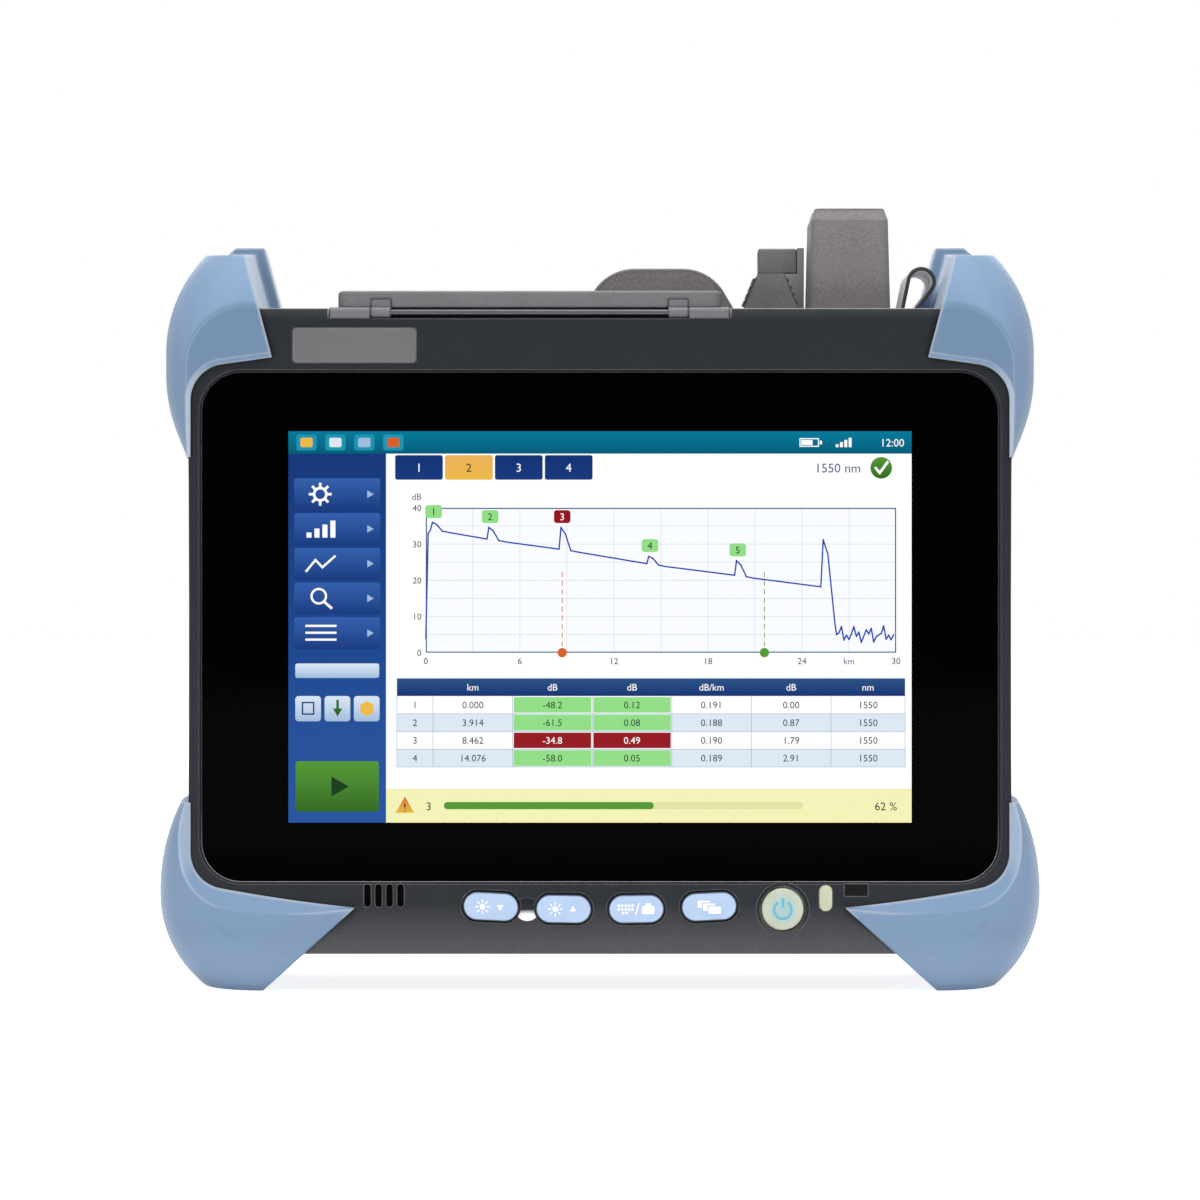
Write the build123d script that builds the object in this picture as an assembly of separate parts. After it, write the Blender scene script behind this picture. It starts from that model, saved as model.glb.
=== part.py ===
from build123d import *
import os
from math import atan, pi, radians, sqrt, tan

# Handheld optical time domain reflectometer, in millimetres.
# +X is the user's right, -Y is the front with the screen, and +Z is up. The origin is under the
# middle of the instrument, on the surface that its two lower corner bumpers stand on.

# Housing
BODY_W = 228.4
BODY_H = 179.0
BODY_D = 62.0
BODY_FLOOR = 11.3  # underside of the housing above the feet
BODY_CORNER_R = 16.5
BODY_FOOT_R = 28.0  # lower corners, inside the lower bumpers
SIDE_WAIST = 0.6  # how far each side is drawn in at half height
REAR_EDGE_R = 5.0
WALL = 2.6
LIP_T = 1.3  # locating lip of the rear shell
LIP_REACH = 3.0
LIP_ROOT = 2.0
LOWER_CURVE_RISE = 12.0  # height over which the lower band rolls back
LOWER_CURVE_R = 26.0
UPPER_CURVE_DROP = 5.4
UPPER_CURVE_R = 10.0
CURVE_OVERRUN = 1.0  # the rolled bands are drawn this far past the housing's top and underside

# Corner bumpers
BUMPER_LAP = 2.0  # in front of the housing and behind it
BUMPER_GAP = 0.2  # between bumper and housing
BUMPER_ROOT = 94.2  # hidden inner side of the swollen forms, in from the housing's side
SWELL_SPARE = 1.0  # the swelling's ellipse is this much deeper than half the bumper
SWELL_SHARE = 0.73  # where along the depth the middle sections stand
FRAME_STRIP = 2.9  # strip of housing left showing between glass and bumper
EDGE_CORNER_R = 10.0
UPPER_OUT = 9.6  # ear beyond the housing's side
UPPER_RISE = 31.0  # height of the ear's swelling above the housing, before its top is cut
UPPER_SHOULDER_R = 41.4
UPPER_REAR_OUT = 5.6  # ear beyond the housing's side, at its rear
UPPER_REAR_R = 32.0
UPPER_WIDEST_DROPS = (21.3, 16.5)  # start of the tongue's taper below the housing's top, at face and middle
UPPER_TIP_DROP = 41.4
UPPER_TIP_OUTS = (-0.4, 1.3)  # tip beyond the housing's side, at face and middle
UPPER_EDGE_DROP = 16.9
UPPER_END_IN = 23.6  # inner corner on the front, in from the housing's side
UPPER_END_DROP = 13.6
UPPER_END_LEAN = 15.0  # degrees
UPPER_RIM_W = 1.2
UPPER_RIM_T = 1.0
EAR_RISE = 23.2  # ear's top above the housing's top
EAR_FALL = 8.9  # from the lip's top down to the ear's front edge
EAR_LIP_RISE = 2.0  # lip above the rest of the ear's top
EAR_LIP_D = 8.0  # lip at the ear's rear
EAR_LIP_IN = 1.1
EAR_DRAFT = 2.0  # ear's inner face steps back this far between its front and the lip
LOWER_OUT = 11.0
LOWER_DIP = 7.2  # the lower swelling reaches this far under the floor, before the foot is cut
LOWER_FOOT_R = 32.0
LOWER_CREASE_OUT = 2.0  # crease beyond the housing's side
LOWER_CREASE_RISE = 11.7
LOWER_CREASE_R = 20.0
LOWER_WIDEST_RISES = (32.7, 14.2)
LOWER_TIP_RISE = 42.2
LOWER_TIP_OUTS = (-0.2, 4.0)
LOWER_EDGE_RISE = 20.2
LOWER_END_IN = 46.5
LOWER_END_RISE = 13.2
LOWER_EDGE_BOW = 0.6  # the inner edge sags this much between the inner end and the corner
LOWER_RIM_W = 3.0  # sloping rim beside the glass, between inner edge and crease
LOWER_RIM_H = 4.8  # the same below the glass
LOWER_RIM_T = 1.5
LOWER_CREASE_BOW = 2.8
FOOT_IN = 19.7  # inner end of the foot, in from the housing's side

# Display
GLASS_SIDE = 4.0  # housing beside the glass
LOWER_BAND = 20.25  # housing below the glass
UPPER_BAND = 17.75
GLASS_R = 11.0
GLASS_T = 1.1
GLASS_SINK = 0.3
GLASS_GAP = 0.25
GLASS_BOND = 0.1
GLASS_CHAMFER = 0.4
WINDOW_SIDE_IN = 12.2  # window inside the glass
WINDOW_END_IN = 6.5
LCD_SIDE_IN = 6.0  # display module inside the window
LCD_END_IN = 5.0
LCD_T = 4.0
FRAME_SIDE_LAP = 2.0  # chassis plate beyond the window
FRAME_END_LAP = 5.5
FRAME_T = 1.5
FRAME_GAP = 0.2

# Keys, lamp and small openings of the lower band
KEY_W = 15.5
KEY_H = 8.0
KEY_GAP = 0.5
KEY_SPACE = 4.6  # between keys
KEY_ROW_RISE = 12.75  # lowest point of the key row above the housing's underside
KEY_ROW_R = 600.0  # the row follows a shallow arc
KEY_PROUD = 0.9
KEY_FLANGE = 0.9
KEY_SETBACK = 1.2  # flange behind the flat inner face of the front wall
KEY_FLANGE_T = 1.0
KEY_EDGE_R = 0.7
KEY_TRAVEL = 0.8
DOME_GAP = 0.1  # left between key and dome at full travel
POWER_D = 11.6
POWER_SPACE = 20.35  # power key from the last key, middle to middle
POWER_DISH_W = 1.5  # dished ring round the power key
POWER_DISH_DEPTH = 0.6
LAMP_W = 3.6
LAMP_H = 7.2
LAMP_SPACE = 11.9  # lamp from the power key
LAMP_RISE = 15.8
FIT_GAP = 0.1
SENSOR_W = 6.4
SENSOR_H = 3.2
SENSOR_SPACE = 8.4  # window from the lamp
SENSOR_RISE = 18.0
SLOT_COUNT = 4
SLOT_PITCH = 3.04
SLOT_W = 1.9
SLOT_H = 6.4
SLOTS_SPACE = 29.55  # speaker slots from the first key
SLOTS_RISE = 16.5
SCOOP_R = 4.2
SCOOP_OUT = 2.6
PLATE_W = 34.0
PLATE_H = 9.4
PLATE_T = 0.7
PLATE_SPACE = 5.7  # from the bumper's inner corner
PLATE_DROP = 10.4

# Port door and its hinge
DOOR_SIDE = 94.7  # door's middle from the housing's left side
DOOR_T = 4.7
DOOR_R = 3.0
DOOR_EDGE_R = 0.9
DOOR_SEAT = 0.3  # door above the deck
DOOR_SIDE_LAP = 2.95  # door beyond the port well
DOOR_FRONT_LAP = 3.0
DOOR_REAR_LAP = 3.2
HINGE_IN = 1.7  # hinge axis behind the housing's front
HINGE_DROP = 1.2  # hinge axis below the deck
ROD_D = 1.8
ROD_GAP = 0.05
KNUCKLE_D = 3.0
KNUCKLE_W = 5.5
KNUCKLE_IN = 9.4  # knuckle's outer end, in from the door's end
BRACKET_OUT = 2.0  # bracket's outer end beyond the door's end
HINGE_SIDE_GAP = 0.15
NOTCH_GAP = 0.3
NOTCH_IN = 3.5
NOTCH_RIB = 0.9  # wall left behind the notch
NOTCH_FLOOR_GAP = 0.3
WELL_FRONT = 5.4  # port well behind the housing's front
WELL_D = 19.4
WELL_BACK = 5.2  # port well in front of the parting plane
SEAL_W = 2.0
SEAL_DROP = 1.9
SEAL_GAP = 0.5

# Ports under the door
PANEL_T = 2.0
PANEL_LAP = 0.7
PORT_PROUD = 0.3
PORT_DEEP = 14.5
PORT_GAP = 0.15
PORT_SPACE = 3.5  # between sockets, and at the row's ends
PORT_BOARD_T = 1.6
USB_W = 13.2
USB_H = 5.8
USB_WALL = 0.35
JACK_W = 15.9
JACK_D = 13.4
JACK_MOUTH_W = 11.7
JACK_MOUTH_D = 7.0
JACK_FLOOR = 2.5
POWER_JACK_W = 10.0
POWER_JACK_BORE_D = 6.3
POWER_JACK_PIN_D = 2.0
SOUND_JACK_W = 8.0
SOUND_JACK_BORE_D = 3.6

# Test module in the rear bay
MODULE_SIDE = 14.2  # module in from the housing's right side
MODULE_W = 112.0
MODULE_LIFT = 8.2  # module above the battery
MODULE_FRONT = 1.6
MODULE_REAR = 10.1  # module in front of the housing's rear
MODULE_WALL = 1.6
MODULE_GAP = 0.3
MODULE_PANEL_REAR = 5.5
BOARD_T = 1.6
LASER_GAP = 1.0
COVER_SPACE = 1.8  # cover from the strap's anchor
COVER_IN = 13.7  # middle of the cover behind the module's front
COVER_W = 23.6
COVER_D = 21.0
COVER_H = 32.2
COVER_TAPER = 1.4
COVER_TOP_CUT = 3.4
COVER_TOP_IN = 1.1
COVER_R = 1.8
COVER_WALL = 1.8
CAP_SEAT = 0.2
PORT_BLOCK_W = 12.6
PORT_BLOCK_D = 9.4
PORT_BLOCK_H = 15.0
FLANGE_T = 1.6
FLANGE_LAP = 3.2
FERRULE_D = 2.5
METER_SPACE = 3.3  # meter cap from the cover
METER_IN = 9.1
METER_BASE_W = 15.6
METER_TOP_W = 7.4
METER_D = 13.4
METER_H = 13.4
METER_SKIRT = 3.4
METER_RIBS = 4
METER_RIB_OUT = 0.9
METER_RIB_T = 0.8
METER_BARREL_D = 5.6
METER_BARREL_H = 7.5
ADAPTER_SPACE = 0.5  # metal port from the cover
ADAPTER_IN = 21.4
ADAPTER_W = 12.8
ADAPTER_D = 6.0
ADAPTER_H = 15.2
ADAPTER_FIN_W = 2.0
ADAPTER_FIN_H = 22.6
ADAPTER_POST_D = 4.6
ADAPTER_POST_H = 4.6
ADAPTER_CAP_W = 11.2
ADAPTER_CAP_H = 7.3
GRIP_SPACE = 0.5  # grip from the meter cap
GRIP_IN = 13.1
GRIP_BASE_W = 48.0
GRIP_TOP_W = 30.0
GRIP_H = 15.4
GRIP_T = 11.0
GRIP_SHOULDER_R = 14.0
GRIP_SCOOP_R = 16.0
GRIP_SCOOP_IN = 3.2
LOOP_OUT = 2.2  # middle of the loop beyond the bumper's inner corner
LOOP_FOOT_OUTS = (-3.4, 0.2)
LOOP_RISE = 11.2
LOOP_R = 3.7
LOOP_T = 1.1
LOOP_W = 19.0
LOOP_IN = 13.6
ANCHOR_H = 2.4
ANCHOR_LAP = 1.4

# Battery and stand
BATTERY_W = 113.0
BATTERY_H = 31.0
BATTERY_D = 24.0
BATTERY_RISE = 12.2
BAY_GAP = 0.3
BAY_WALL = 2.4
DOOR_LAP = 3.0
BATTERY_DOOR_T = 2.4
BATTERY_EAR_OUT = 1.0  # screw centres beyond the door's ends
BATTERY_HEAD_SINK = 1.2
STAND_LIFT = 10.0  # leg's foot above the battery
STAND_SPACE = 4.4  # wall of the leg's pocket from the fan
STAND_H = 67.0
STAND_T = 3.2
STAND_PIVOT_IN = 2.4
STAND_BARREL_D = 4.4
STAND_PIN_D = 2.0
STAND_GAP = 0.6
STAND_FLOOR_GAP = 0.6
STAND_NOTCH_R = 9.0
STAND_PAD_T = 0.5
STAND_PAD_SPACE = 6.4  # pad from the finger notch
STAND_PAD_H = 6.0
POCKET_WALL = 2.6

# Cooling
FAN_SIDE = 1.7  # fan from the screw boss beside it
FAN_DROP = 60.3  # fan's middle below the housing's top
FAN_SIZE = 42.0
FAN_RIM = 1.5
FAN_D = 12.0
FAN_HUB_D = 17.0
FAN_AXLE_D = 2.5
FAN_TIP_GAP = 0.9
FAN_BLADES = 7
FAN_BLADE_T = 1.2
FAN_FLOOR = 1.6
VENT_COUNT = 8
VENT_PITCH = 4.5
VENT_W = 34.0
VENT_H = 2.2
SINK_W = 36.0
SINK_H = 34.0
SINK_BASE = 2.2
SINK_FINS = 7
SINK_FIN_T = 1.4
SINK_FIN_H = 7.0

# Boards, posts and screws
POST_D = 5.0
POST_H = 4.3
BOARD_SIDE_IN = 4.0  # main board inside the chassis plate
BOARD_END_IN = 7.5
DOME_D = 6.0
DOME_T = 0.6
SCREW_D = 3.0
SCREW_HEAD_D = 5.2
SCREW_HEAD_T = 2.2
SCREW_BORE_GAP = 0.06
SCREW_DRIVE_W = 2.4
SCREW_DRIVE_DEEP = 1.2
SCREW_SINK = 0.3
SHELL_BOSS_D = 6.6
SHELL_SCREW_IN = 10.2  # in from the housing's side
SHELL_SCREW_RISE = 52.7
SHELL_SCREW_DROP = 52.3
SHELL_SCREW_BITE = 10.0
FRAME_BOSS_IN = 40.0  # in from the chassis plate's side

# Places worked out from the sizes above
FAR = 400.0
SIDE_X = BODY_W / 2
FRONT_Y = -BODY_D / 2
REAR_Y = BODY_D / 2
SPLIT_Y = FRONT_Y + WELL_FRONT + WELL_D + WELL_BACK  # parting plane between the two shells
BODY_TOP = BODY_FLOOR + BODY_H
BODY_MID_Z = BODY_FLOOR + BODY_H / 2
INNER_FRONT_Y = FRONT_Y + WALL
INNER_REAR_Y = REAR_Y - WALL
INNER_TOP = BODY_TOP - WALL
BUMPER_D = BODY_D + 2 * BUMPER_LAP
GLASS_W = BODY_W - 2 * GLASS_SIDE
GLASS_H = BODY_H - LOWER_BAND - UPPER_BAND
GLASS_Z = BODY_FLOOR + LOWER_BAND + GLASS_H / 2
WINDOW_W = GLASS_W - 2 * WINDOW_SIDE_IN
WINDOW_H = GLASS_H - 2 * WINDOW_END_IN
LCD_W = WINDOW_W - 2 * LCD_SIDE_IN
LCD_H = WINDOW_H - 2 * LCD_END_IN
FRAME_W = WINDOW_W + 2 * FRAME_SIDE_LAP
FRAME_H = WINDOW_H + 2 * FRAME_END_LAP
MAIN_BOARD_W = FRAME_W - 2 * BOARD_SIDE_IN
MAIN_BOARD_H = FRAME_H - 2 * BOARD_END_IN
GLASS_BACK_Y = FRONT_Y + GLASS_SINK + GLASS_T
POCKET_Y = GLASS_BACK_Y + GLASS_BOND
LCD_BACK_Y = POCKET_Y + LCD_T
FRAME_FRONT_Y = LCD_BACK_Y + FRAME_GAP
FRAME_BACK_Y = FRAME_FRONT_Y + FRAME_T
MAIN_BOARD_Y = FRAME_BACK_Y + POST_H
UPPER_END_X = SIDE_X - UPPER_END_IN
UPPER_END_Z = BODY_TOP - UPPER_END_DROP
KEY_NAMES = ("dim_key", "bright_key", "keyboard_key", "window_key")
KEY_PITCH = KEY_W + KEY_SPACE
LAST_KEY_X = (len(KEY_NAMES) - 1) / 2 * KEY_PITCH
POWER_X = LAST_KEY_X + POWER_SPACE
LAMP_X = POWER_X + LAMP_SPACE
SENSOR_X = LAMP_X + SENSOR_SPACE
SLOTS_X = -LAST_KEY_X - SLOTS_SPACE
SCOOP_X = -KEY_PITCH
PLATE_X = -UPPER_END_X + PLATE_SPACE + PLATE_W / 2
POWER_Z = BODY_FLOOR + KEY_ROW_RISE
LAMP_Z = BODY_FLOOR + LAMP_RISE
SENSOR_Z = BODY_FLOOR + SENSOR_RISE
SLOTS_Z = BODY_FLOOR + SLOTS_RISE
PLATE_Z = BODY_TOP - PLATE_DROP
KEY_FLANGE_Y = INNER_FRONT_Y + KEY_SETBACK
KEY_BACK_Y = KEY_FLANGE_Y + KEY_FLANGE_T
DOME_FRONT_Y = KEY_BACK_Y + KEY_TRAVEL + DOME_GAP
PORT_ROW = (POWER_JACK_W, SOUND_JACK_W, USB_W, USB_W, JACK_W, JACK_W)
WELL_W = sum(PORT_ROW) + (len(PORT_ROW) + 1) * PORT_SPACE
WELL_FRONT_Y = FRONT_Y + WELL_FRONT
WELL_Y = WELL_FRONT_Y + WELL_D / 2
DOOR_X = DOOR_SIDE - SIDE_X
DOOR_W = WELL_W + 2 * DOOR_SIDE_LAP
DOOR_D = WELL_D + DOOR_FRONT_LAP + DOOR_REAR_LAP
DOOR_FRONT_Y = WELL_FRONT_Y - DOOR_FRONT_LAP
DOOR_FLOOR = BODY_TOP + DOOR_SEAT
KNUCKLE_SPAN = DOOR_W - 2 * KNUCKLE_IN
BRACKET_SPAN = DOOR_W + 2 * BRACKET_OUT
HINGE_Y = FRONT_Y + HINGE_IN
HINGE_Z = BODY_TOP - HINGE_DROP
NOTCH_Z = HINGE_Z - KNUCKLE_D / 2 - NOTCH_FLOOR_GAP
PORT_TOP = INNER_TOP + PORT_PROUD
PORT_FLOOR = PORT_TOP - PORT_DEEP
BATTERY_FLOOR = BODY_FLOOR + BATTERY_RISE
BATTERY_TOP = BATTERY_FLOOR + BATTERY_H
BATTERY_REAR_Y = REAR_Y - BATTERY_DOOR_T - BAY_GAP
DECK = BODY_TOP
MODULE_X = SIDE_X - MODULE_SIDE - MODULE_W / 2
MODULE_FRONT_Y = SPLIT_Y + MODULE_FRONT + MODULE_GAP
MODULE_REAR_Y = REAR_Y - MODULE_REAR
MODULE_PANEL_D = REAR_Y - MODULE_PANEL_REAR - MODULE_FRONT_Y
MODULE_TOP = INNER_TOP
MODULE_FLOOR = BATTERY_TOP + MODULE_LIFT
LOOP_X = UPPER_END_X + LOOP_OUT
LOOP_Y = MODULE_FRONT_Y + LOOP_IN
LOOP_Z = DECK + LOOP_RISE
LOOP_FOOT_XS = [UPPER_END_X + out for out in LOOP_FOOT_OUTS]
COVER_X = LOOP_FOOT_XS[0] - ANCHOR_LAP - COVER_SPACE - COVER_W / 2
COVER_Y = MODULE_FRONT_Y + COVER_IN
METER_X = COVER_X - COVER_W / 2 - METER_SPACE - METER_BASE_W / 2
METER_Y = MODULE_FRONT_Y + METER_IN
ADAPTER_X = COVER_X - COVER_W / 2 - ADAPTER_SPACE - ADAPTER_W / 2
ADAPTER_Y = MODULE_FRONT_Y + ADAPTER_IN
ADAPTER_FIN_X = ADAPTER_X + ADAPTER_W / 2
ADAPTER_CAP_X = ADAPTER_FIN_X - ADAPTER_FIN_W - ADAPTER_CAP_W / 2 - CAP_SEAT
GRIP_X = METER_X - METER_BASE_W / 2 - GRIP_SPACE - GRIP_BASE_W / 2
GRIP_Y = MODULE_FRONT_Y + GRIP_IN
STAND_PIVOT_Y = REAR_Y - STAND_PIVOT_IN
STAND_FOOT_Z = BATTERY_TOP + STAND_LIFT
STAND_PIVOT_Z = STAND_FOOT_Z + STAND_H
POCKET_FLOOR_Y = STAND_PIVOT_Y - STAND_BARREL_D / 2 - STAND_FLOOR_GAP
SHELL_SCREW_X = SIDE_X - SHELL_SCREW_IN
SHELL_SCREW_ZS = (BODY_FLOOR + SHELL_SCREW_RISE, BODY_TOP - SHELL_SCREW_DROP)
FRAME_BOSS_X = FRAME_W / 2 - FRAME_BOSS_IN
FAN_X = -(SHELL_SCREW_X - SHELL_BOSS_D / 2 - FAN_SIDE - FAN_SIZE / 2)
FAN_Z = BODY_TOP - FAN_DROP
FAN_BORE_D = FAN_SIZE - 2 * FAN_RIM
STAND_W = 2 * (-FAN_X - FAN_SIZE / 2 - STAND_SPACE - POCKET_WALL - STAND_GAP)
STAND_PAD_W = STAND_W / 2 - STAND_PAD_H - STAND_NOTCH_R - STAND_PAD_SPACE


def block(x, y, z):
    """A box between (low, high) pairs along X, Y and Z."""
    middle = Pos((x[0] + x[1]) / 2, (y[0] + y[1]) / 2, (z[0] + z[1]) / 2)
    return middle * Box(x[1] - x[0], y[1] - y[0], z[1] - z[0])


def around(centre, size):
    """The (low, high) pair of a length centred on a place."""
    return (centre - size / 2, centre + size / 2)


def prism_x(sketch, x0, x1):
    """Extrudes a sketch drawn in Y and Z from x0 to x1."""
    plane = Plane(origin=(x0, 0, 0), x_dir=(0, 1, 0), z_dir=(1, 0, 0))
    return extrude(plane * sketch, amount=x1 - x0)


def front_view(sketch, y):
    """Places a sketch drawn in X and Z at depth y."""
    return Plane(origin=(0, y, 0), x_dir=(1, 0, 0), z_dir=(0, -1, 0)) * sketch


def prism_y(sketch, y0, y1):
    """Extrudes a sketch drawn in X and Z from y0 to y1."""
    return extrude(front_view(sketch, y1), amount=y1 - y0)


def prism_z(sketch, z0, z1):
    """Extrudes a sketch drawn in X and Y from z0 to z1."""
    return extrude(Pos(0, 0, z0) * sketch, amount=z1 - z0)


def group(solids):
    """Like pieces that share one node."""
    return Compound(children=list(solids))


def polygon(points):
    return make_face(Polyline(*points, close=True))


# Housing shells


def roll_depth(radius, height):
    """How far an arc that leaves the front face falls back over a height."""
    return radius - sqrt(radius**2 - height**2)


def body_block(inset):
    """The outside form of the closed housing, drawn in by inset on every face."""
    half = SIDE_X - inset
    low, high = BODY_FLOOR + inset, BODY_TOP - inset
    front, rear = FRONT_Y + inset, REAR_Y - inset
    face = make_face(
        Curve()
        + [
            Line((-half, low), (half, low)),
            ThreePointArc((half, low), (half - SIDE_WAIST, BODY_MID_Z), (half, high)),
            Line((half, high), (-half, high)),
            ThreePointArc((-half, high), (-half + SIDE_WAIST, BODY_MID_Z), (-half, low)),
        ]
    )
    face = fillet(face.vertices().group_by(Axis.Y)[0], BODY_FOOT_R - inset)
    face = fillet(face.vertices().group_by(Axis.Y)[-1], BODY_CORNER_R - inset)
    outline = prism_y(face, front - WALL, rear)
    outline = fillet(outline.faces().sort_by(Axis.Y)[-1].edges(), REAR_EDGE_R - inset * 0.5)

    low_r, high_r = LOWER_CURVE_R - inset, UPPER_CURVE_R - inset
    low_z, high_z = BODY_FLOOR + LOWER_CURVE_RISE, BODY_TOP - UPPER_CURVE_DROP
    low_end, high_end = low - CURVE_OVERRUN, high + CURVE_OVERRUN
    low_mid, high_mid = (low_z + low_end) / 2, (high_z + high_end) / 2
    low_y = front + roll_depth(low_r, low_z - low_end)
    high_y = front + roll_depth(high_r, high_end - high_z)
    back = rear + WALL
    profile = make_face(
        Curve()
        + [
            Line((front, low_z), (front, high_z)),
            ThreePointArc(
                (front, high_z),
                (front + roll_depth(high_r, high_mid - high_z), high_mid),
                (high_y, high_end),
            ),
            Polyline((high_y, high_end), (back, high_end), (back, low_end), (low_y, low_end)),
            ThreePointArc(
                (low_y, low_end),
                (front + roll_depth(low_r, low_z - low_mid), low_mid),
                (front, low_z),
            ),
        ]
    )
    return outline & prism_x(profile, -BODY_W, BODY_W)


OUTER = body_block(0)
INNER = body_block(WALL)


def key_places():
    """X, Z and tilt of each key along the shallow arc of the row."""
    places = []
    for index in range(len(KEY_NAMES)):
        x = (index - (len(KEY_NAMES) - 1) / 2) * KEY_PITCH
        z = BODY_FLOOR + KEY_ROW_RISE + x**2 / (2 * KEY_ROW_R)
        places.append((x, z, x / KEY_ROW_R * 180 / pi))
    return places


def key_outline(place, grow):
    x, z, tilt = place
    return Pos(x, z) * Rot(0, 0, tilt) * SlotOverall(KEY_W + 2 * grow, KEY_H + 2 * grow)


def lamp_outline(grow):
    return Pos(LAMP_X, LAMP_Z) * Rot(0, 0, 90) * SlotOverall(LAMP_H + 2 * grow, LAMP_W + 2 * grow)


def slot_xs():
    return [SLOTS_X + (i - (SLOT_COUNT - 1) / 2) * SLOT_PITCH for i in range(SLOT_COUNT)]


def shell_screw_places():
    return [(side * SHELL_SCREW_X, z) for side in (-1, 1) for z in SHELL_SCREW_ZS]


def frame_boss_places():
    zs = around(GLASS_Z, FRAME_H - POST_D)
    return [(side * FRAME_BOSS_X, z) for side in (-1, 1) for z in zs]


def hinge_notch():
    """The step in the housing's top front edge that the door hinge lies in."""
    x = around(DOOR_X, BRACKET_SPAN + 2 * NOTCH_GAP)
    return block(x, (FRONT_Y - FAR, FRONT_Y + NOTCH_IN), (NOTCH_Z, BODY_TOP + FAR))


def port_well():
    return block(around(DOOR_X, WELL_W), around(WELL_Y, WELL_D), (INNER_TOP - WALL, BODY_TOP + WALL))


def front_shell():
    shell = (OUTER - INNER) & block((-FAR, FAR), (-FAR, SPLIT_Y), (-FAR, FAR))
    for x, z in shell_screw_places():
        shell += prism_y(Pos(x, z) * Circle(SHELL_BOSS_D / 2), INNER_FRONT_Y - WALL / 2, SPLIT_Y)
    for x, z in frame_boss_places():
        shell += prism_y(Pos(x, z) * Circle(POST_D / 2), INNER_FRONT_Y - WALL / 4, FRAME_FRONT_Y)
    shell += block(
        around(DOOR_X, BRACKET_SPAN + 2 * NOTCH_GAP + WALL),
        (INNER_FRONT_Y, FRONT_Y + NOTCH_IN + NOTCH_RIB),
        (NOTCH_Z - WALL / 2, INNER_TOP + WALL / 2),
    )
    def pocket(grow):
        return Pos(0, GLASS_Z) * RectangleRounded(GLASS_W + 2 * grow, GLASS_H + 2 * grow, GLASS_R + grow)

    through = INNER_FRONT_Y + WALL
    cuts = [
        prism_y(pocket(GLASS_GAP), FRONT_Y - WALL, POCKET_Y),
        loft(
            [
                front_view(pocket(GLASS_GAP + GLASS_CHAMFER), FRONT_Y),
                front_view(pocket(GLASS_GAP), FRONT_Y + GLASS_CHAMFER),
            ]
        ),
        prism_y(Pos(0, GLASS_Z) * RectangleRounded(WINDOW_W, WINDOW_H, GLASS_R / 2), FRONT_Y, through),
        prism_y(Pos(POWER_X, POWER_Z) * Circle(POWER_D / 2 + KEY_GAP), FRONT_Y - WALL, through),
        prism_y(
            Pos(POWER_X, POWER_Z) * Circle(POWER_D / 2 + POWER_DISH_W),
            FRONT_Y - WALL,
            FRONT_Y + POWER_DISH_DEPTH,
        ),
        prism_y(lamp_outline(FIT_GAP), FRONT_Y - WALL, through),
        block(
            around(SENSOR_X, SENSOR_W + 2 * FIT_GAP),
            (FRONT_Y - WALL, through),
            around(SENSOR_Z, SENSOR_H + 2 * FIT_GAP),
        ),
        prism_y(
            Pos(PLATE_X, PLATE_Z) * RectangleRounded(PLATE_W + 2 * FIT_GAP, PLATE_H + 2 * FIT_GAP, 1),
            FRONT_Y - WALL,
            FRONT_Y + PLATE_T,
        ),
        Pos(SCOOP_X, FRONT_Y - SCOOP_OUT, POWER_Z) * Sphere(SCOOP_R),
        hinge_notch(),
        port_well(),
    ]
    cuts += [prism_y(key_outline(place, KEY_GAP), FRONT_Y - WALL, through) for place in key_places()]
    for x in slot_xs():
        slot = Pos(x, SLOTS_Z) * Rot(0, 0, 90) * SlotOverall(SLOT_H, SLOT_W)
        cuts.append(prism_y(slot, FRONT_Y - WALL, through))
    bore = Circle(SCREW_D / 2 + SCREW_BORE_GAP)
    for x, z in shell_screw_places():
        cuts.append(prism_y(Pos(x, z) * bore, SPLIT_Y - SHELL_SCREW_BITE - WALL, SPLIT_Y + WALL))
    return shell - cuts


def battery_door_outline(grow):
    z = BATTERY_FLOOR + BATTERY_H / 2
    width, height = BATTERY_W + 2 * DOOR_LAP + 2 * grow, BATTERY_H + 2 * DOOR_LAP + 2 * grow
    return Pos(0, z) * RectangleRounded(width, height, DOOR_LAP)


def battery_screw_places():
    z = BATTERY_FLOOR + BATTERY_H / 2
    return [(side * (BATTERY_W / 2 + DOOR_LAP + BATTERY_EAR_OUT), z) for side in (-1, 1)]


def battery_ears(grow):
    return [Pos(x, z) * Circle(SHELL_BOSS_D / 2 + grow) for x, z in battery_screw_places()]


def stand_pocket():
    x = around(0, STAND_W + 2 * STAND_GAP)
    top = STAND_PIVOT_Z + STAND_BARREL_D / 2 + STAND_GAP
    return block(x, (POCKET_FLOOR_Y, REAR_Y + WALL), (STAND_FOOT_Z - STAND_GAP, top))


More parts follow.
